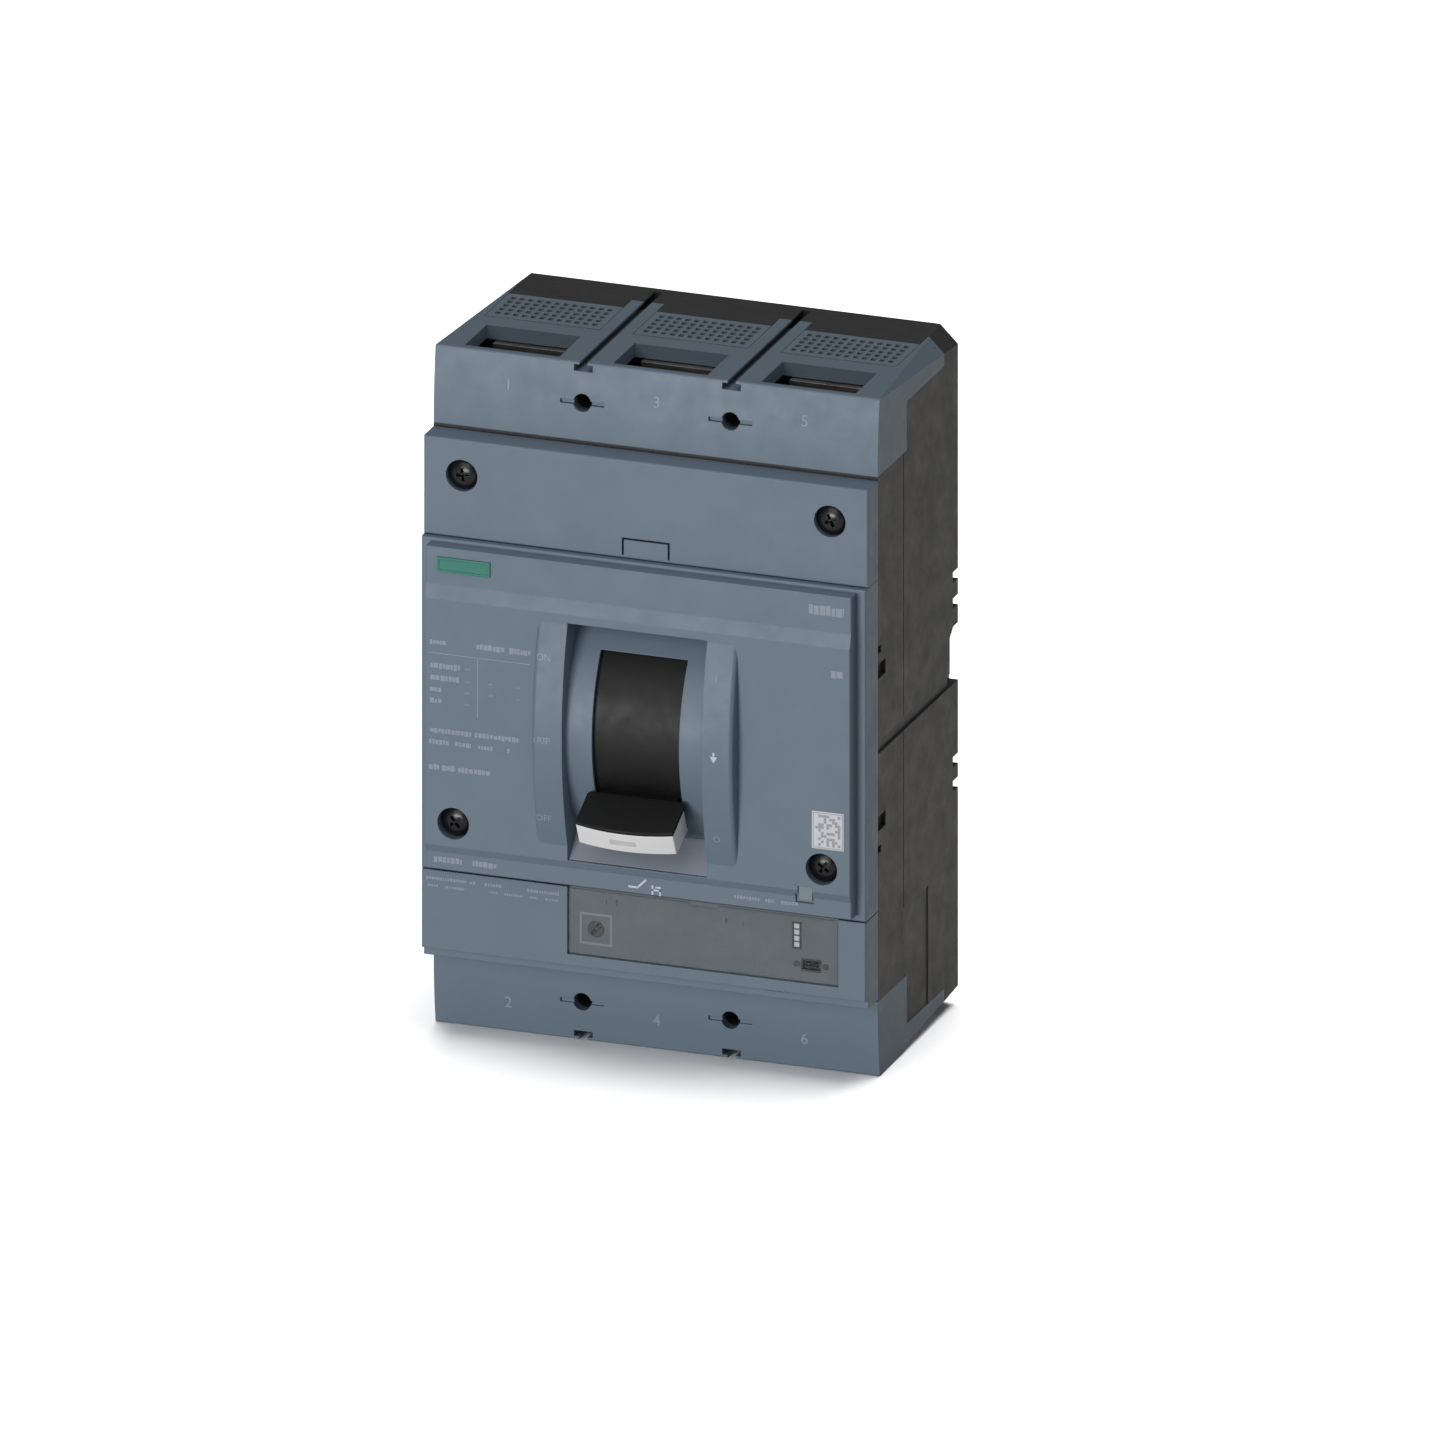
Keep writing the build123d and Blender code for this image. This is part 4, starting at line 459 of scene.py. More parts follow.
metalLooks = {
    "screw_black": {
        "dark": colour(0.004, 0.004, 0.005), "light": colour(0.009, 0.009, 0.011),
        "worn": colour(0.06, 0.06, 0.07), "rough": (0.2, 0.3), "lines": 1400.0, "metallic": 0.0,
        "specular": 0.3, "bump": 0.12,
    },
    "steel_zinc": {
        "dark": colour(0.42, 0.43, 0.42), "light": colour(0.62, 0.62, 0.6), "worn": colour(0.75, 0.75, 0.74),
        "rough": (0.26, 0.42),
    },
    "spring_steel": {
        "dark": colour(0.28, 0.27, 0.27), "light": colour(0.44, 0.44, 0.45), "worn": colour(0.6, 0.6, 0.6),
        "rough": (0.22, 0.36), "lines": 3400.0,
    },
    "copper_plated": {
        "dark": colour(0.3, 0.25, 0.22), "light": colour(0.5, 0.46, 0.43), "worn": colour(0.7, 0.52, 0.42),
        "rough": (0.3, 0.48),
    },
    "contact_silver": {
        "dark": colour(0.55, 0.52, 0.47), "light": colour(0.82, 0.8, 0.76), "worn": colour(0.9, 0.89, 0.87),
        "rough": (0.3, 0.48),
    },
    "arc_steel": {
        "dark": colour(0.24, 0.22, 0.2), "light": colour(0.46, 0.43, 0.39), "worn": colour(0.62, 0.6, 0.57),
        "rough": (0.36, 0.55), "cloud": 110.0, "tarnish": 0.8,
    },
}
windowLook = {
    "dark": colour(0.86, 0.89, 0.9), "light": colour(0.92, 0.94, 0.95), "shade": colour(0.9, 0.92, 0.93),
    "rough": (0.08, 0.16), "scratches": 1500.0,
}

finishes = {name: plasticFinish(name + "Finish", look) for name, look in plasticLooks.items()}
finishes.update({name: metalFinish(name + "Finish", look) for name, look in metalLooks.items()})
finishes["window_clear"] = windowFinish("window_clearFinish", windowLook)

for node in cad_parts.values():
    for holder in node.material_slots:
        holder.material = finishes[holder.material.name.split(".")[0]]
print("Finishes placed:", len(finishes))


# Mesh helpers. Work is done flat, then stood up to face the front.
faceFront = Matrix.Rotation(math.radians(90), 4, "X")


def addPiece(name, bm, body, finish, sharp=35):
    bmesh.ops.remove_doubles(bm, verts=bm.verts[:], dist=1e-7)
    bmesh.ops.recalc_face_normals(bm, faces=bm.faces[:])
    mesh = bpy.data.meshes.new(name)
    bm.to_mesh(mesh)
    bm.free()
    mesh.polygons.foreach_set("use_smooth", [True] * len(mesh.polygons))
    mesh.set_sharp_from_angle(angle=math.radians(sharp))
    mesh.materials.append(finishes[finish])
    piece = bpy.data.objects.new(name, mesh)
    bpy.context.scene.collection.objects.link(piece)
    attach(piece, body)
    return piece


def searchTree(names):
    corners, sides = [], []
    for name in names:
        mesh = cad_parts[name].data
        first = len(corners)
        corners.extend(v.co.copy() for v in mesh.vertices)
        sides.extend([first + i for i in p.vertices] for p in mesh.polygons)
    return BVHTree.FromPolygons(corners, sides)


frontFaces = searchTree((
    "terminal_cover_top", "terminal_cover_bottom", "accessory_cover", "main_cover", "front_panel",
    "trip_unit_housing", "trip_unit_faceplate", "info_label", "label_badge",
))


def layOnFront(bm, ink, faces=frontFaces):
    # each corner of the flat print drops on the face behind it, then the ink gets its thickness
    for corner in bm.verts:
        hit = faces.ray_cast(Vector((corner.co.x, -0.3, corner.co.z)), Vector((0, 1, 0)))
        corner.co.y = hit[0].y - ink
    grown = bmesh.ops.extrude_face_region(bm, geom=bm.faces[:])["geom"]
    lifted = [part for part in grown if isinstance(part, bmesh.types.BMVert)]
    bmesh.ops.translate(bm, verts=lifted, vec=(0, 2 * ink, 0))


def addBar(bm, left, right, middle, tall):
    span = Matrix.Diagonal((right - left, tall, 1, 1))
    spot = Matrix.Translation(((left + right) / 2, 0, middle))
    bmesh.ops.create_grid(bm, x_segments=1, y_segments=1, size=0.5, matrix=spot @ faceFront @ span)


def addLetters(bm, text, tall, x, z):
    curve = bpy.data.curves.new("letters", "FONT")
    curve.body = text
    curve.resolution_u = 3
    holder = bpy.data.objects.new("letters", curve)
    mesh = bpy.data.meshes.new_from_object(holder)
    xs = [v.co.x for v in mesh.vertices]
    ys = [v.co.y for v in mesh.vertices]
    size = tall / (max(ys) - min(ys))
    middle = Matrix.Translation((-(max(xs) + min(xs)) / 2, -(max(ys) + min(ys)) / 2, 0))
    mesh.transform(Matrix.Translation((x, 0, z)) @ faceFront @ Matrix.Scale(size, 4) @ middle)
    bm.from_mesh(mesh)
    bpy.data.meshes.remove(mesh)
    bpy.data.objects.remove(holder)
    bpy.data.curves.remove(curve)


# Printed marks on the front. Rows are (left, right, middle height, letter height) in millimetres.
ink = 0.05 * mm
terminalDigits = {"tall": 5.2, "pitch": 70.0, "height": 146.0, "top": "135", "bottom": "246"}
digitMesh = bmesh.new()
for place in range(3):
    across = (place - 1) * terminalDigits["pitch"] * mm
    addLetters(
        digitMesh, terminalDigits["top"][place], terminalDigits["tall"] * mm, across,
        terminalDigits["height"] * mm,
    )
    addLetters(
        digitMesh, terminalDigits["bottom"][place], terminalDigits["tall"] * mm, across,
        -terminalDigits["height"] * mm,
    )
layOnFront(digitMesh, ink)
addPiece("terminal_digits", digitMesh, "case", "paleInk")

positionMarks = {
    "tall": 3.1,
    "left": (("ON", 30.0), ("TRIP", -8.0), ("OFF", -46.0)),
    "right": (("I", 30.0), ("O", -46.0)),
    "leftX": -43.0,
    "rightX": 38.7,
}
positionMesh = bmesh.new()
for side in ("left", "right"):
    for text, height in positionMarks[side]:
        addLetters(
            positionMesh, text, positionMarks["tall"] * mm, positionMarks[side + "X"] * mm, height * mm,
        )
layOnFront(positionMesh, ink)
addPiece("position_marks", positionMesh, "case", "paleInk")

tripArrow = {"x": 38.7, "z": -7.2, "half": 1.7, "tall": 3.0, "stem": 1.6}
arrowMesh = bmesh.new()
arrowTop = (tripArrow["z"] + tripArrow["tall"] / 2) * mm
arrowCorners = [
    arrowMesh.verts.new(
        (tripArrow["x"] * mm + across * tripArrow["half"] * mm, 0, arrowTop - down * tripArrow["tall"] * mm)
    )
    for across, down in ((-1, 0), (0, 1), (1, 0))
]
arrowMesh.faces.new(arrowCorners)
addBar(
    arrowMesh, (tripArrow["x"] - 0.5) * mm, (tripArrow["x"] + 0.5) * mm, arrowTop + 1.1 * mm,
    tripArrow["stem"] * mm,
)
layOnFront(arrowMesh, ink)
addPiece("trip_arrow", arrowMesh, "case", "whiteInk")

panelRows = {
    "seed": 11,
    "letterGap": 0.35,
    "words": (
        (-98.0, -90.0, 29.4, 2.2), (-76.0, -62.7, 29.6, 2.8), (-60.4, -50.4, 29.6, 2.8),
        (
            -97.8, -83.8, 18.4, 3.0,
        ), (-97.8, -83.8, 12.6, 3.0), (-98.0, -92.4, 7.2, 2.6), (-98.0, -92.4, 1.8, 2.6),
        (
            -81.2, -79.0, 18.2, 1.0,
        ), (-81.2, -79.0, 12.4, 1.0), (-81.2, -79.0, 7.0, 1.0), (-81.2, -79.0, 1.6, 1.0),
        (
            -70.0, -68.6, 12.6, 0.9,
        ), (-70.0, -68.6, 7.2, 0.9), (-57.0, -55.4, 12.4, 0.9), (-57.0, -55.4, 7.0, 0.9),
        (-98.0, -78.2, -12.2, 2.4), (-76.8, -55.6, -12.2, 2.4),
        (
            -98.4, -89.0, -17.6, 2.4,
        ), (-86.2, -78.6, -17.6, 2.4), (-75.2, -68.4, -17.8, 2.2), (-61.6, -60.4, -17.8, 2.2),
        (-98.6, -93.6, -29.6, 2.8), (-92.2, -86.0, -29.6, 2.8), (-84.6, -69.6, -29.6, 2.8),
        (-96.6, -83.4, -73.6, 2.8), (-78.4, -66.8, -73.6, 2.8),
        (45.2, 57.3, -73.8, 1.8), (60.0, 64.2, -73.8, 1.8), (67.4, 75.6, -73.8, 1.8),
        (80.6, 97.2, 66.4, 4.8), (91.6, 97.4, 37.4, 4.4),
        (
            -102.6, -83.8, -85.3, 1.7,
        ), (-82.0, -79.2, -85.3, 1.7), (-75.0, -66.6, -85.3, 1.7), (-55.0, -39.6, -85.6, 1.7),
        (
            -102.0, -97.0, -88.8, 1.3,
        ), (-93.8, -84.4, -88.8, 1.3), (-72.8, -69.0, -88.6, 1.3), (-65.6, -56.8, -88.8, 1.3),
        (-53.8, -50.2, -88.8, 1.3), (-46.4, -39.6, -88.8, 1.3),
        (55.6, 67.2, -119.6, 1.6),
    ),
    "rules": ((-98.6, -50.6, 24.3, 0.35), (-75.7, -75.3, 10.2, 28.6)),
}
rowMesh = bmesh.new()
dice = random.Random(panelRows["seed"])
for left, right, middle, tall in panelRows["words"]:
    # a word is a run of short uneven strokes, so it reads as print but says nothing
    spot = left
    while spot < right - 0.2:
        stroke = min(right - spot, tall * dice.uniform(0.35, 0.75))
        addBar(
            rowMesh, spot * mm, (spot + stroke) * mm, (middle + tall * dice.uniform(-0.06, 0.06)) * mm,
            tall * dice.uniform(0.7, 1.0) * mm,
        )
        spot += stroke + panelRows["letterGap"] * dice.uniform(0.6, 1.4)
for left, right, middle, tall in panelRows["rules"]:
    addBar(rowMesh, left * mm, right * mm, middle * mm, tall * mm)
layOnFront(rowMesh, ink)
addPiece("panel_print_rows", rowMesh, "case", "paleInk")

breakerSymbol = {
    "line": 0.9,
    "bars": (
        (-4.8, -0.2, -75.2, 0.9), (4.0, 4.8, -76.0, 5.0), (6.2, 10.6, -75.6, 0.8), (6.2, 7.0, -75.6, 4.4),
        (8.0, 10.6, -74.2, 0.8), (9.8, 10.6, -76.6, 2.8),
    ),
    "lever": ((-0.4, -75.2), (3.6, -71.2)),
}
symbolMesh = bmesh.new()
for left, right, middle, tall in breakerSymbol["bars"]:
    addBar(symbolMesh, left * mm, right * mm, middle * mm, tall * mm)
foot, tip = (Vector((x * mm, 0, z * mm)) for x, z in breakerSymbol["lever"])
across = (tip - foot).cross(Vector((0, 1, 0))).normalized() * breakerSymbol["line"] * mm / 2
symbolMesh.faces.new(
    [symbolMesh.verts.new(spot) for spot in (foot - across, foot + across, tip + across, tip - across)]
)
layOnFront(symbolMesh, ink)
addPiece("breaker_symbol", symbolMesh, "case", "whiteInk")

labelCells = {
    "seed": 5, "columns": 9, "rows": 11, "left": 84.2, "right": 96.0, "low": -44.2, "high": -29.4,
    "share": 0.42,
}
cellMesh = bmesh.new()
dice = random.Random(labelCells["seed"])
cellWidth = (labelCells["right"] - labelCells["left"]) / labelCells["columns"]
cellHeight = (labelCells["high"] - labelCells["low"]) / labelCells["rows"]
for column in range(labelCells["columns"]):
    for row in range(labelCells["rows"]):
        if dice.random() < labelCells["share"]:
            left = labelCells["left"] + column * cellWidth
            middle = labelCells["low"] + (row + 0.5) * cellHeight
            addBar(
                cellMesh, (left + 0.06) * mm, (left + cellWidth - 0.06) * mm, middle * mm,
                (cellHeight - 0.12) * mm,
            )
layOnFront(cellMesh, ink)
addPiece("label_cells", cellMesh, "case", "greyInk")
print("Front print laid")

# Raised rim round the blank badge
badgeRim = {"margin": 1.0, "rise": 0.35}
low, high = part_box("label_badge")
rimMesh = bmesh.new()
addBar(rimMesh, low.x, high.x, (low.z + high.z) / 2, high.z - low.z)
bmesh.ops.inset_individual(
    rimMesh, faces=rimMesh.faces[:], thickness=badgeRim["margin"] * mm, use_even_offset=True,
)
middleFace = min(
    rimMesh.faces,
    key=lambda face: (
        face.calc_center_median() - Vector(((low.x + high.x) / 2, 0, (low.z + high.z) / 2))
    ).length,
)
bmesh.ops.delete(rimMesh, geom=[middleFace], context="FACES")
for corner in rimMesh.verts:
    corner.co.y = low.y - badgeRim["rise"] * mm
grown = bmesh.ops.extrude_face_region(rimMesh, geom=rimMesh.faces[:])["geom"]
bmesh.ops.translate(
    rimMesh, verts=[part for part in grown if isinstance(part, bmesh.types.BMVert)],
    vec=(0, (badgeRim["rise"] + 0.1) * mm, 0),
)
addPiece("badge_rim", rimMesh, "case", "badge_teal")


# Raised details round the dial, the light column and the service socket
def addRing(bm, middle, size, wall):
    # flat square ring, given in millimetres
    (x, z), (wide, high) = middle, size
    for side in (-1, 1):
        addBar(bm, (x - wide / 2) * mm, (x + wide / 2) * mm, (z + side * (high - wall) / 2) * mm, wall * mm)
        edge = x + side * (wide - wall) / 2
        addBar(bm, (edge - wall / 2) * mm, (edge + wall / 2) * mm, z * mm, (high - 2 * wall) * mm)


dialFrame = {"middle": (-22.9, -100.5), "size": (15.4, 15.0), "wall": 1.1, "rise": 0.18}
frameMesh = bmesh.new()
addRing(frameMesh, dialFrame["middle"], dialFrame["size"], dialFrame["wall"])
layOnFront(frameMesh, dialFrame["rise"] * mm)
addPiece("dial_frame", frameMesh, "case", "frameGrey")

dialPointer = {"x": -22.9, "z": -99.1, "wide": 0.9, "tall": 3.4, "rise": 0.08}
pointerMesh = bmesh.new()
addBar(
    pointerMesh, (dialPointer["x"] - dialPointer["wide"] / 2) * mm,
    (dialPointer["x"] + dialPointer["wide"] / 2) * mm, dialPointer["z"] * mm, dialPointer["tall"] * mm,
)
layOnFront(pointerMesh, dialPointer["rise"] * mm, searchTree(("trip_unit_knob",)))
addPiece("dial_pointer", pointerMesh, "dial", "frameGrey")

socketPosts = {"x": (71.9, 85.5), "z": -104.9, "radius": 1.4, "rise": 0.35}
postMesh = bmesh.new()
for x in socketPosts["x"]:
    spot = Matrix.Translation((x * mm, 0, socketPosts["z"] * mm))
    bmesh.ops.create_circle(
        postMesh, cap_ends=True, segments=24, radius=socketPosts["radius"] * mm, matrix=spot @ faceFront,
    )
layOnFront(postMesh, socketPosts["rise"] * mm)
addPiece("socket_posts", postMesh, "case", "knob_dark")

lightBezel = {"middle": (72.0, -91.5), "size": (4.4, 12.8), "wall": 0.7, "rise": 0.15}
bezelMesh = bmesh.new()
addRing(bezelMesh, lightBezel["middle"], lightBezel["size"], lightBezel["wall"])
layOnFront(bezelMesh, lightBezel["rise"] * mm)
addPiece("light_bezel", bezelMesh, "case", "knob_dark")

buttonBracket = {"left": 74.2, "right": 82.9, "low": -72.9, "high": -63.8, "wall": 0.8}
bracketMesh = bmesh.new()
addBar(
    bracketMesh, buttonBracket["left"] * mm, buttonBracket["right"] * mm,
    (buttonBracket["low"] + buttonBracket["wall"] / 2) * mm, buttonBracket["wall"] * mm,
)
addBar(
    bracketMesh, buttonBracket["left"] * mm, (buttonBracket["left"] + buttonBracket["wall"]) * mm,
    (
        buttonBracket["low"] + buttonBracket["wall"] + buttonBracket["high"]
    ) / 2 * mm, (buttonBracket["high"] - buttonBracket["low"] - buttonBracket["wall"]) * mm,
)
layOnFront(bracketMesh, ink)
addPiece("button_bracket", bracketMesh, "case", "bracketInk")

labelFrame = {"middle": (90.1, -36.8), "size": (14.0, 16.6), "wall": 0.3}
labelFrameMesh = bmesh.new()
addRing(labelFrameMesh, labelFrame["middle"], labelFrame["size"], labelFrame["wall"])
layOnFront(labelFrameMesh, ink)
addPiece("label_frame", labelFrameMesh, "case", "greyInk")

# Faint blank mark on the white handle cap
capMark = {"left": -7.0, "right": 5.4, "z": -48.2, "tall": 2.6, "strips": 10}
markMesh = bmesh.new()
markWide = (capMark["right"] - capMark["left"]) / capMark["strips"]
for strip in range(capMark["strips"]):
    left = capMark["left"] + strip * markWide
    addBar(markMesh, left * mm, (left + markWide) * mm, capMark["z"] * mm, capMark["tall"] * mm)
bmesh.ops.remove_doubles(markMesh, verts=markMesh.verts[:], dist=1e-6)
layOnFront(markMesh, ink, searchTree(("handle_cap",)))
addPiece("cap_mark", markMesh, "handle", "capInk")

# Sloped ledge at the foot of the handle opening, running back to the curved band; its grey is painted lighter
# than the cover plastic, as painted light for the light the sloped face catches
openingLedge = {
    "half": 32.97,
    "profile": (
        (-126.5, -65.98), (-113.95, -53.43), (-111.6, -55.7), (-108.3, -59.0), (-104.4, -62.4),
        (-99.9, -65.98),
    ),
}
ledgeMesh = bmesh.new()
ledgeFace = ledgeMesh.faces.new(
    [ledgeMesh.verts.new((-openingLedge["half"] * mm, y * mm, z * mm)) for y, z in openingLedge["profile"]]
)
grown = bmesh.ops.extrude_face_region(ledgeMesh, geom=[ledgeFace], use_keep_orig=True)["geom"]
bmesh.ops.translate(
    ledgeMesh, verts=[part for part in grown if isinstance(part, bmesh.types.BMVert)],
    vec=(2 * openingLedge["half"] * mm, 0, 0),
)
addPiece("opening_ledge", ledgeMesh, "case", "ledgePaintedLightGrey")

tickMarks = {
    "marks": ((-13.2, -86.6, 1.6), (-18.0, -86.6, 0.9), (38.6, -89.0, 1.6), (46.6, -89.2, 0.9)), "stem": 0.4,
}
tickMesh = bmesh.new()
for x, z, tall in tickMarks["marks"]:
    points = ((x - tall / 2, z), (x + tall / 2, z), (x, z + tall))
    tickMesh.faces.new([tickMesh.verts.new((px * mm, 0, pz * mm)) for px, pz in points])
    addBar(
        tickMesh, (x - tickMarks["stem"] / 2) * mm, (x + tickMarks["stem"] / 2) * mm, (z - 0.9) * mm,
        1.6 * mm,
    )
layOnFront(tickMesh, ink)
addPiece("plate_ticks", tickMesh, "case", "darkInk")
print("Trip unit marks laid")


def turnProfile(bm, profile, steps):
    # spins (radius, height) points about Z into a closed form
    points = [bm.verts.new((radius, 0, height)) for radius, height in profile]
    edges = [bm.edges.new(pair) for pair in zip(points, points[1:])]
    bmesh.ops.spin(
        bm, geom=points + edges, cent=(0, 0, 0), axis=(0, 0, 1), angle=math.tau, steps=steps, use_merge=True,
    )
    bmesh.ops.remove_doubles(bm, verts=bm.verts[:], dist=1e-7)
    bmesh.ops.recalc_face_normals(bm, faces=bm.faces[:])


def asObject(bm, name):
    mesh = bpy.data.meshes.new(name)
    bm.to_mesh(mesh)
    bm.free()
    shape = bpy.data.objects.new(name, mesh)
    bpy.context.scene.collection.objects.link(shape)
    return shape


def cutAway(body, cutter):
    # cuts one closed form from another and gives the result back as a bmesh
    blank, tool = asObject(body, "blank"), asObject(cutter, "tool")
    cut = blank.modifiers.new("cut", "BOOLEAN")
    cut.operation, cut.object, cut.solver, cut.use_self = "DIFFERENCE", tool, "EXACT", True
    bpy.context.view_layer.update()
    mesh = bpy.data.meshes.new_from_object(blank.evaluated_get(bpy.context.evaluated_depsgraph_get()))
    result = bmesh.new()
    result.from_mesh(mesh)
    for shape in (blank, tool):
        old = shape.data
        bpy.data.objects.remove(shape)
        bpy.data.meshes.remove(old)
    bpy.data.meshes.remove(mesh)
    return result


# Domed cover screws with a cross recess
coverScrew = {
    "profile": (
        (0.0, 0.0), (3.0, 0.0), (7.1, 0.0), (7.3, 0.25), (7.3, 1.5), (7.15, 1.9), (6.5, 2.55), (5.4, 3.2),
        (4.0, 3.7), (2.2, 4.05), (0.0, 4.15),
    ),
    "recess": 1.7, "recessLong": 7.6, "recessDeep": 2.4, "taper": 0.62,
    "bladeTop": 5.5, "crown": 4.15, "taperBelow": 3.5,
    "x": 87.0, "upperZ": 105.3, "lowerZ": -55.4, "upperSeat": 112.0, "lowerSeat": 121.5,
}


def crossRecess():
    cutter = bmesh.new()
    for turn in (0, 90):
        top, crown, deep = coverScrew["bladeTop"], coverScrew["crown"], coverScrew["recessDeep"]
        size = Matrix.Diagonal(
            (coverScrew["recessLong"] * mm, coverScrew["recess"] * mm, (top - crown + deep) * mm, 1)
        )
        lift = Matrix.Translation((0, 0, (top + crown - deep) / 2 * mm))
        blade = bmesh.ops.create_cube(
            cutter, size=1.0, matrix=Matrix.Rotation(math.radians(turn), 4, "Z") @ lift @ size,
        )["verts"]
        low = [corner for corner in blade if corner.co.z < coverScrew["taperBelow"] * mm]
        bmesh.ops.scale(cutter, verts=low, vec=(coverScrew["taper"], coverScrew["taper"], 1))
    return cutter


screwMesh = bmesh.new()
for side in (-1, 1):
    for z, seat, turn in (
        (coverScrew["upperZ"], coverScrew["upperSeat"], 17),
        (coverScrew["lowerZ"], coverScrew["lowerSeat"], 48),
    ):
        head = bmesh.new()
        turnProfile(head, [(radius * mm, height * mm) for radius, height in coverScrew["profile"]], 64)
        head = cutAway(head, crossRecess())
        spot = Matrix.Translation((side * coverScrew["x"] * mm, -seat * mm, z * mm))
        head.transform(spot @ faceFront @ Matrix.Rotation(math.radians(turn + side * 9), 4, "Z"))
        made = bpy.data.meshes.new("head")
        head.to_mesh(made)
        head.free()
        screwMesh.from_mesh(made)
        bpy.data.meshes.remove(made)
screws = addPiece("domed_cover_screws", screwMesh, "case", "screw_black", sharp=28)
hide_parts("cover_screws")
print("Cover screws turned")

# Operating springs as wound wire between the knee pin and the yoke bar
springWire = {"coil": 2.55, "wire": 0.45, "turns": 26, "stepsPerTurn": 20, "sides": 8}


def springEnds(side):
    # centres of the two end rings of one plain spring tube
    ring = [v.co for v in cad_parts["operating_springs"].data.vertices if v.co.x * side > 0]
    middle = sum(ring, Vector()) / len(ring)
    ends = []
    for half in ([v for v in ring if v.z > middle.z], [v for v in ring if v.z <= middle.z]):
        clean = {tuple(round(c, 6) for c in v) for v in half}
        ends.append(sum((Vector(c) for c in clean), Vector()) / len(clean))
    return ends


springMesh = bmesh.new()
for side in (-1, 1):
    top, foot = springEnds(side)
    length = (foot - top).length
    steps = springWire["turns"] * springWire["stepsPerTurn"]
    coil = bmesh.new()
    ring = bmesh.ops.create_circle(
        coil, segments=springWire["sides"], radius=springWire["wire"] * mm,
    )["verts"]
    bmesh.ops.transform(
        coil, verts=ring, matrix=Matrix.Translation((springWire["coil"] * mm, 0, 0.6 * mm)) @ faceFront,
    )
    bmesh.ops.spin(
        coil, geom=coil.verts[:] + coil.edges[:], cent=(0, 0, 0), axis=(0, 0, 1),
        dvec=(0, 0, (length - 1.2 * mm) / steps), angle=math.tau * springWire["turns"], steps=steps,
    )
    bmesh.ops.holes_fill(coil, edges=coil.edges[:], sides=springWire["sides"])
    bmesh.ops.recalc_face_normals(coil, faces=coil.faces[:])
    turn = (foot - top).to_track_quat("Z", "X").to_matrix().to_4x4()
    coil.transform(Matrix.Translation(top) @ turn)
    made = bpy.data.meshes.new("coil")
    coil.to_mesh(made)
    coil.free()
    springMesh.from_mesh(made)
    bpy.data.meshes.remove(made)
springs = addPiece("wound_springs", springMesh, "handle", "spring_steel", sharp=60)
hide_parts("operating_springs")
print("Springs wound")

# Floor, lights and camera
floorLook = {
    "size": 8.0, "dark": colour(0.84, 0.84, 0.845), "light": colour(0.9, 0.9, 0.905),
    "mirrored": colour(0.42, 0.41, 0.4),
}
floorMesh = bmesh.new()
bmesh.ops.create_grid(
    floorMesh, x_segments=1, y_segments=1, size=floorLook["size"] / 2,
    matrix=Matrix.Translation((0, 0, cadBox[0].z - 0.0002)),
)
floor = asObject(floorMesh, "studio_floor")
finishes["floor"] = plasticFinish(
    "studioFloorFinish",
    {
        "dark": floorLook["dark"], "light": floorLook["light"], "worn": floorLook["light"],
        "rough": (0.7, 0.85), "mottle": 3.0, "grain": 400.0, "bump": 0.05,
    },
)
floorTree = finishes["floor"].node_tree
dimmed = addNode(floorTree, "ShaderNodeBsdfDiffuse", {"Color": floorLook["mirrored"]})
seen = addNode(floorTree, "ShaderNodeLightPath")
floorSurface = next(node for node in floorTree.nodes if node.type == "BSDF_PRINCIPLED")
floorOutput = next(node for node in floorTree.nodes if node.type == "OUTPUT_MATERIAL")
floorMix = addNode(
    floorTree, "ShaderNodeMixShader",
    {0: seen.outputs["Is Glossy Ray"], 1: floorSurface.outputs[0], 2: dimmed.outputs[0]},
)
floorTree.links.new(floorMix.outputs[0], floorOutput.inputs[0])
floor.data.materials.append(finishes["floor"])

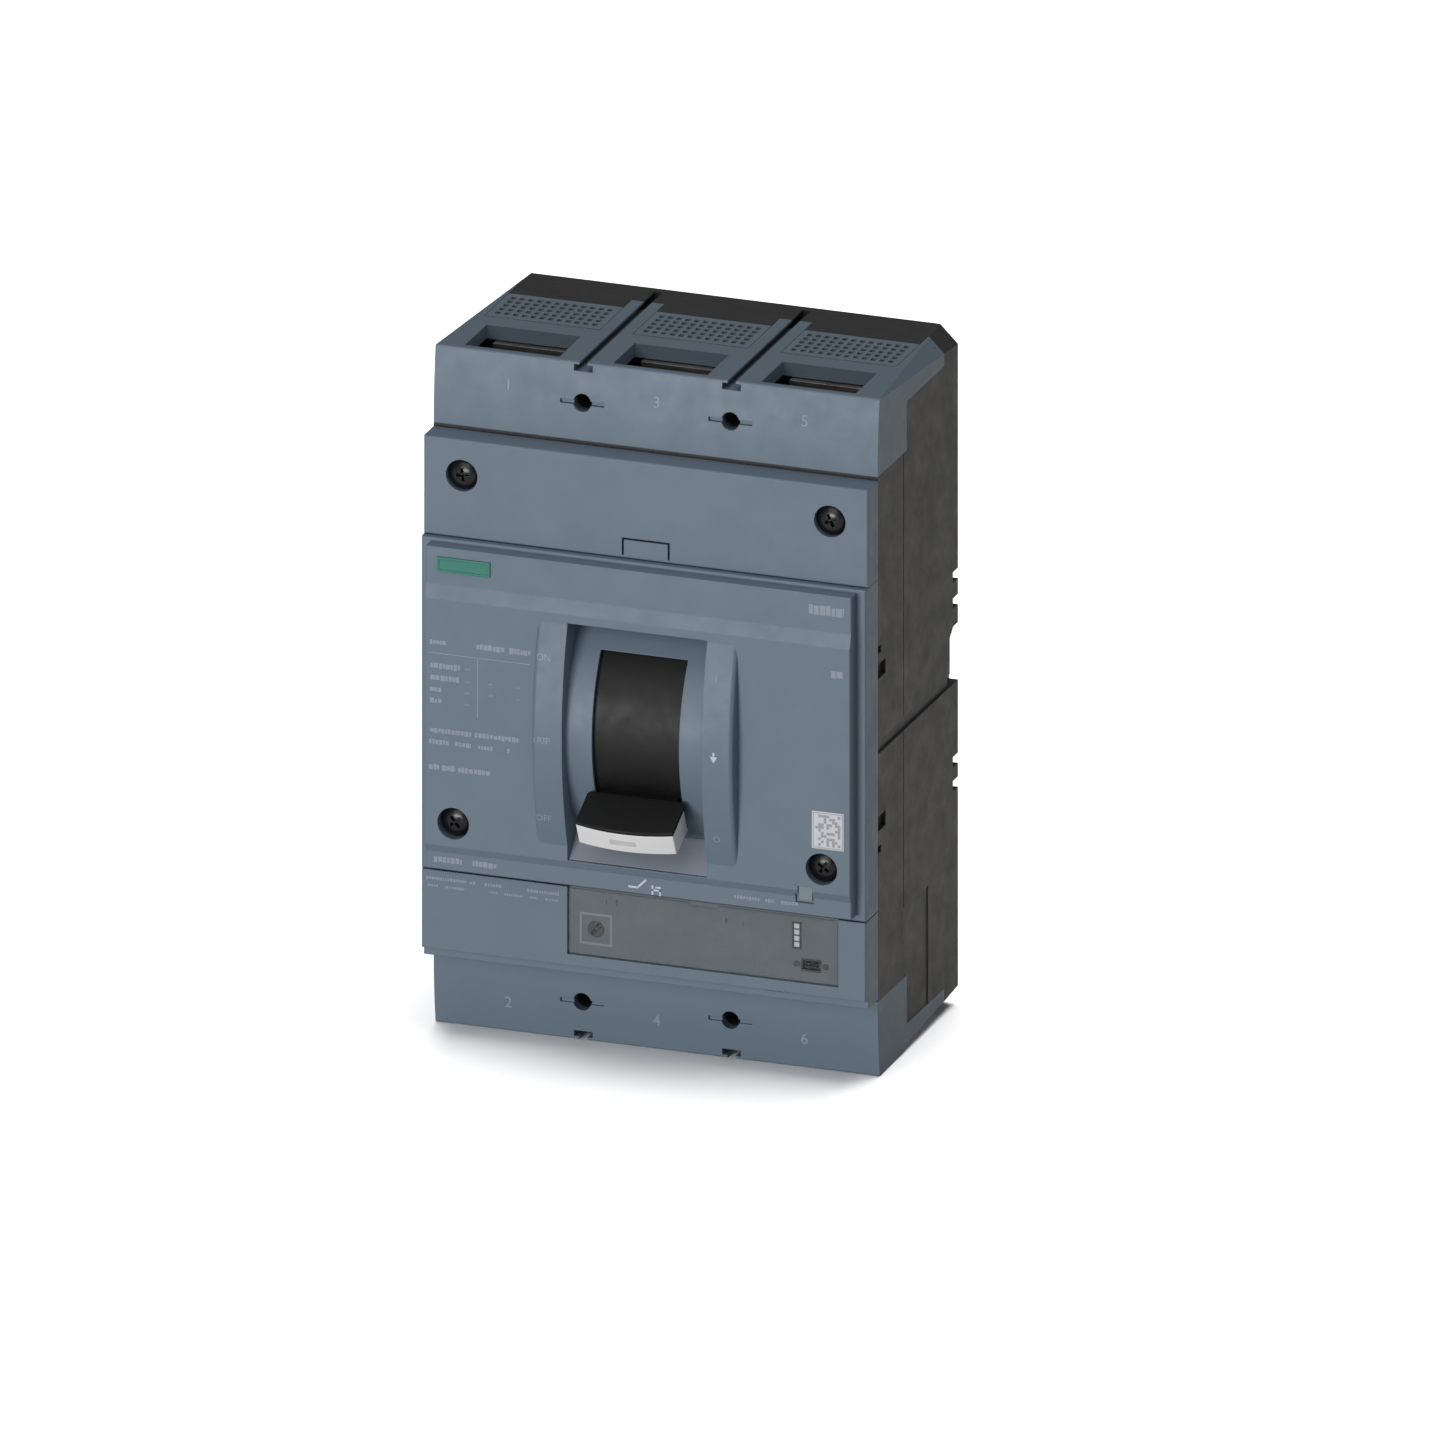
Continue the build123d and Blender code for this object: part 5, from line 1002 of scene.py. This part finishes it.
lamps = {
    "key": {"from": (-0.46, -2.15, -0.02), "size": (0.8, 0.26), "power": 18.5, "tint": (1.0, 1.0, 1.0)},
    "front": {"from": (-0.3, -2.2, 0.9), "size": (1.4, 1.0), "power": 10.4, "tint": (1.0, 1.0, 1.0)},
    "top": {"from": (0.2, -0.3, 2.4), "size": (1.6, 1.6), "power": 17.0, "tint": (1.0, 1.0, 1.0)},
    "right": {"from": (2.4, -0.5, 0.5), "size": (1.2, 1.2), "power": 2.0, "tint": (1.0, 0.93, 0.86)},
    "floorWash": {"from": (0.0, 0.6, 3.4), "size": (3.0, 3.0), "power": 200.0, "tint": (1.0, 1.0, 1.0)},
}
for name, lamp in lamps.items():
    data = bpy.data.lights.new(name, "AREA")
    data.shape = "RECTANGLE"
    data.size, data.size_y = lamp["size"]
    data.energy = lamp["power"]
    data.color = lamp["tint"]
    holder = bpy.data.objects.new(name, data)
    holder.location = lamp["from"]
    aim = Vector((0, -0.06, 0)) - Vector(lamp["from"])
    holder.rotation_euler = aim.to_track_quat("-Z", "Y").to_euler()
    bpy.context.scene.collection.objects.link(holder)
    if name == "floorWash":
        # this lamp only keeps the studio floor pale, so it is linked to the floor alone
        floorOnly = bpy.data.collections.new("floorOnly")
        floorOnly.objects.link(floor)
        holder.light_linking.receiver_collection = floorOnly
floor.visible_diffuse = False

studioWorld = {"tint": (1.0, 1.0, 1.0, 1.0), "strength": 0.17}
world = bpy.data.worlds.new("studio")
world.use_nodes = True
world.node_tree.nodes["Background"].inputs[0].default_value = studioWorld["tint"]
world.node_tree.nodes["Background"].inputs[1].default_value = studioWorld["strength"]
bpy.context.scene.world = world
bpy.context.scene.view_settings.view_transform = "Standard"

view = {
    "azimuth": 20.0, "elevation": 20.0, "middle": (0.0, -0.055, 0.0), "right": 12.88, "down": 20.38,
    "scale": 0.6417, "distance": 2.2,
}
turn, rise = math.radians(view["azimuth"]), math.radians(view["elevation"])
right = Vector((math.cos(turn), math.sin(turn), 0))
up = Vector((-math.sin(rise) * math.sin(turn), math.sin(rise) * math.cos(turn), math.cos(rise)))
back = right.cross(up)
cameraData = bpy.data.cameras.new("camera")
cameraData.type = "ORTHO"
cameraData.ortho_scale = view["scale"]
camera = bpy.data.objects.new("camera", cameraData)
spot = Vector(view["middle"]) + right * view["right"] * mm - up * view["down"] * mm + back * view["distance"]
camera.matrix_world = Matrix.Translation(spot) @ Matrix((right, up, back)).transposed().to_4x4()
bpy.context.scene.collection.objects.link(camera)
bpy.context.scene.camera = camera
print("Studio set")
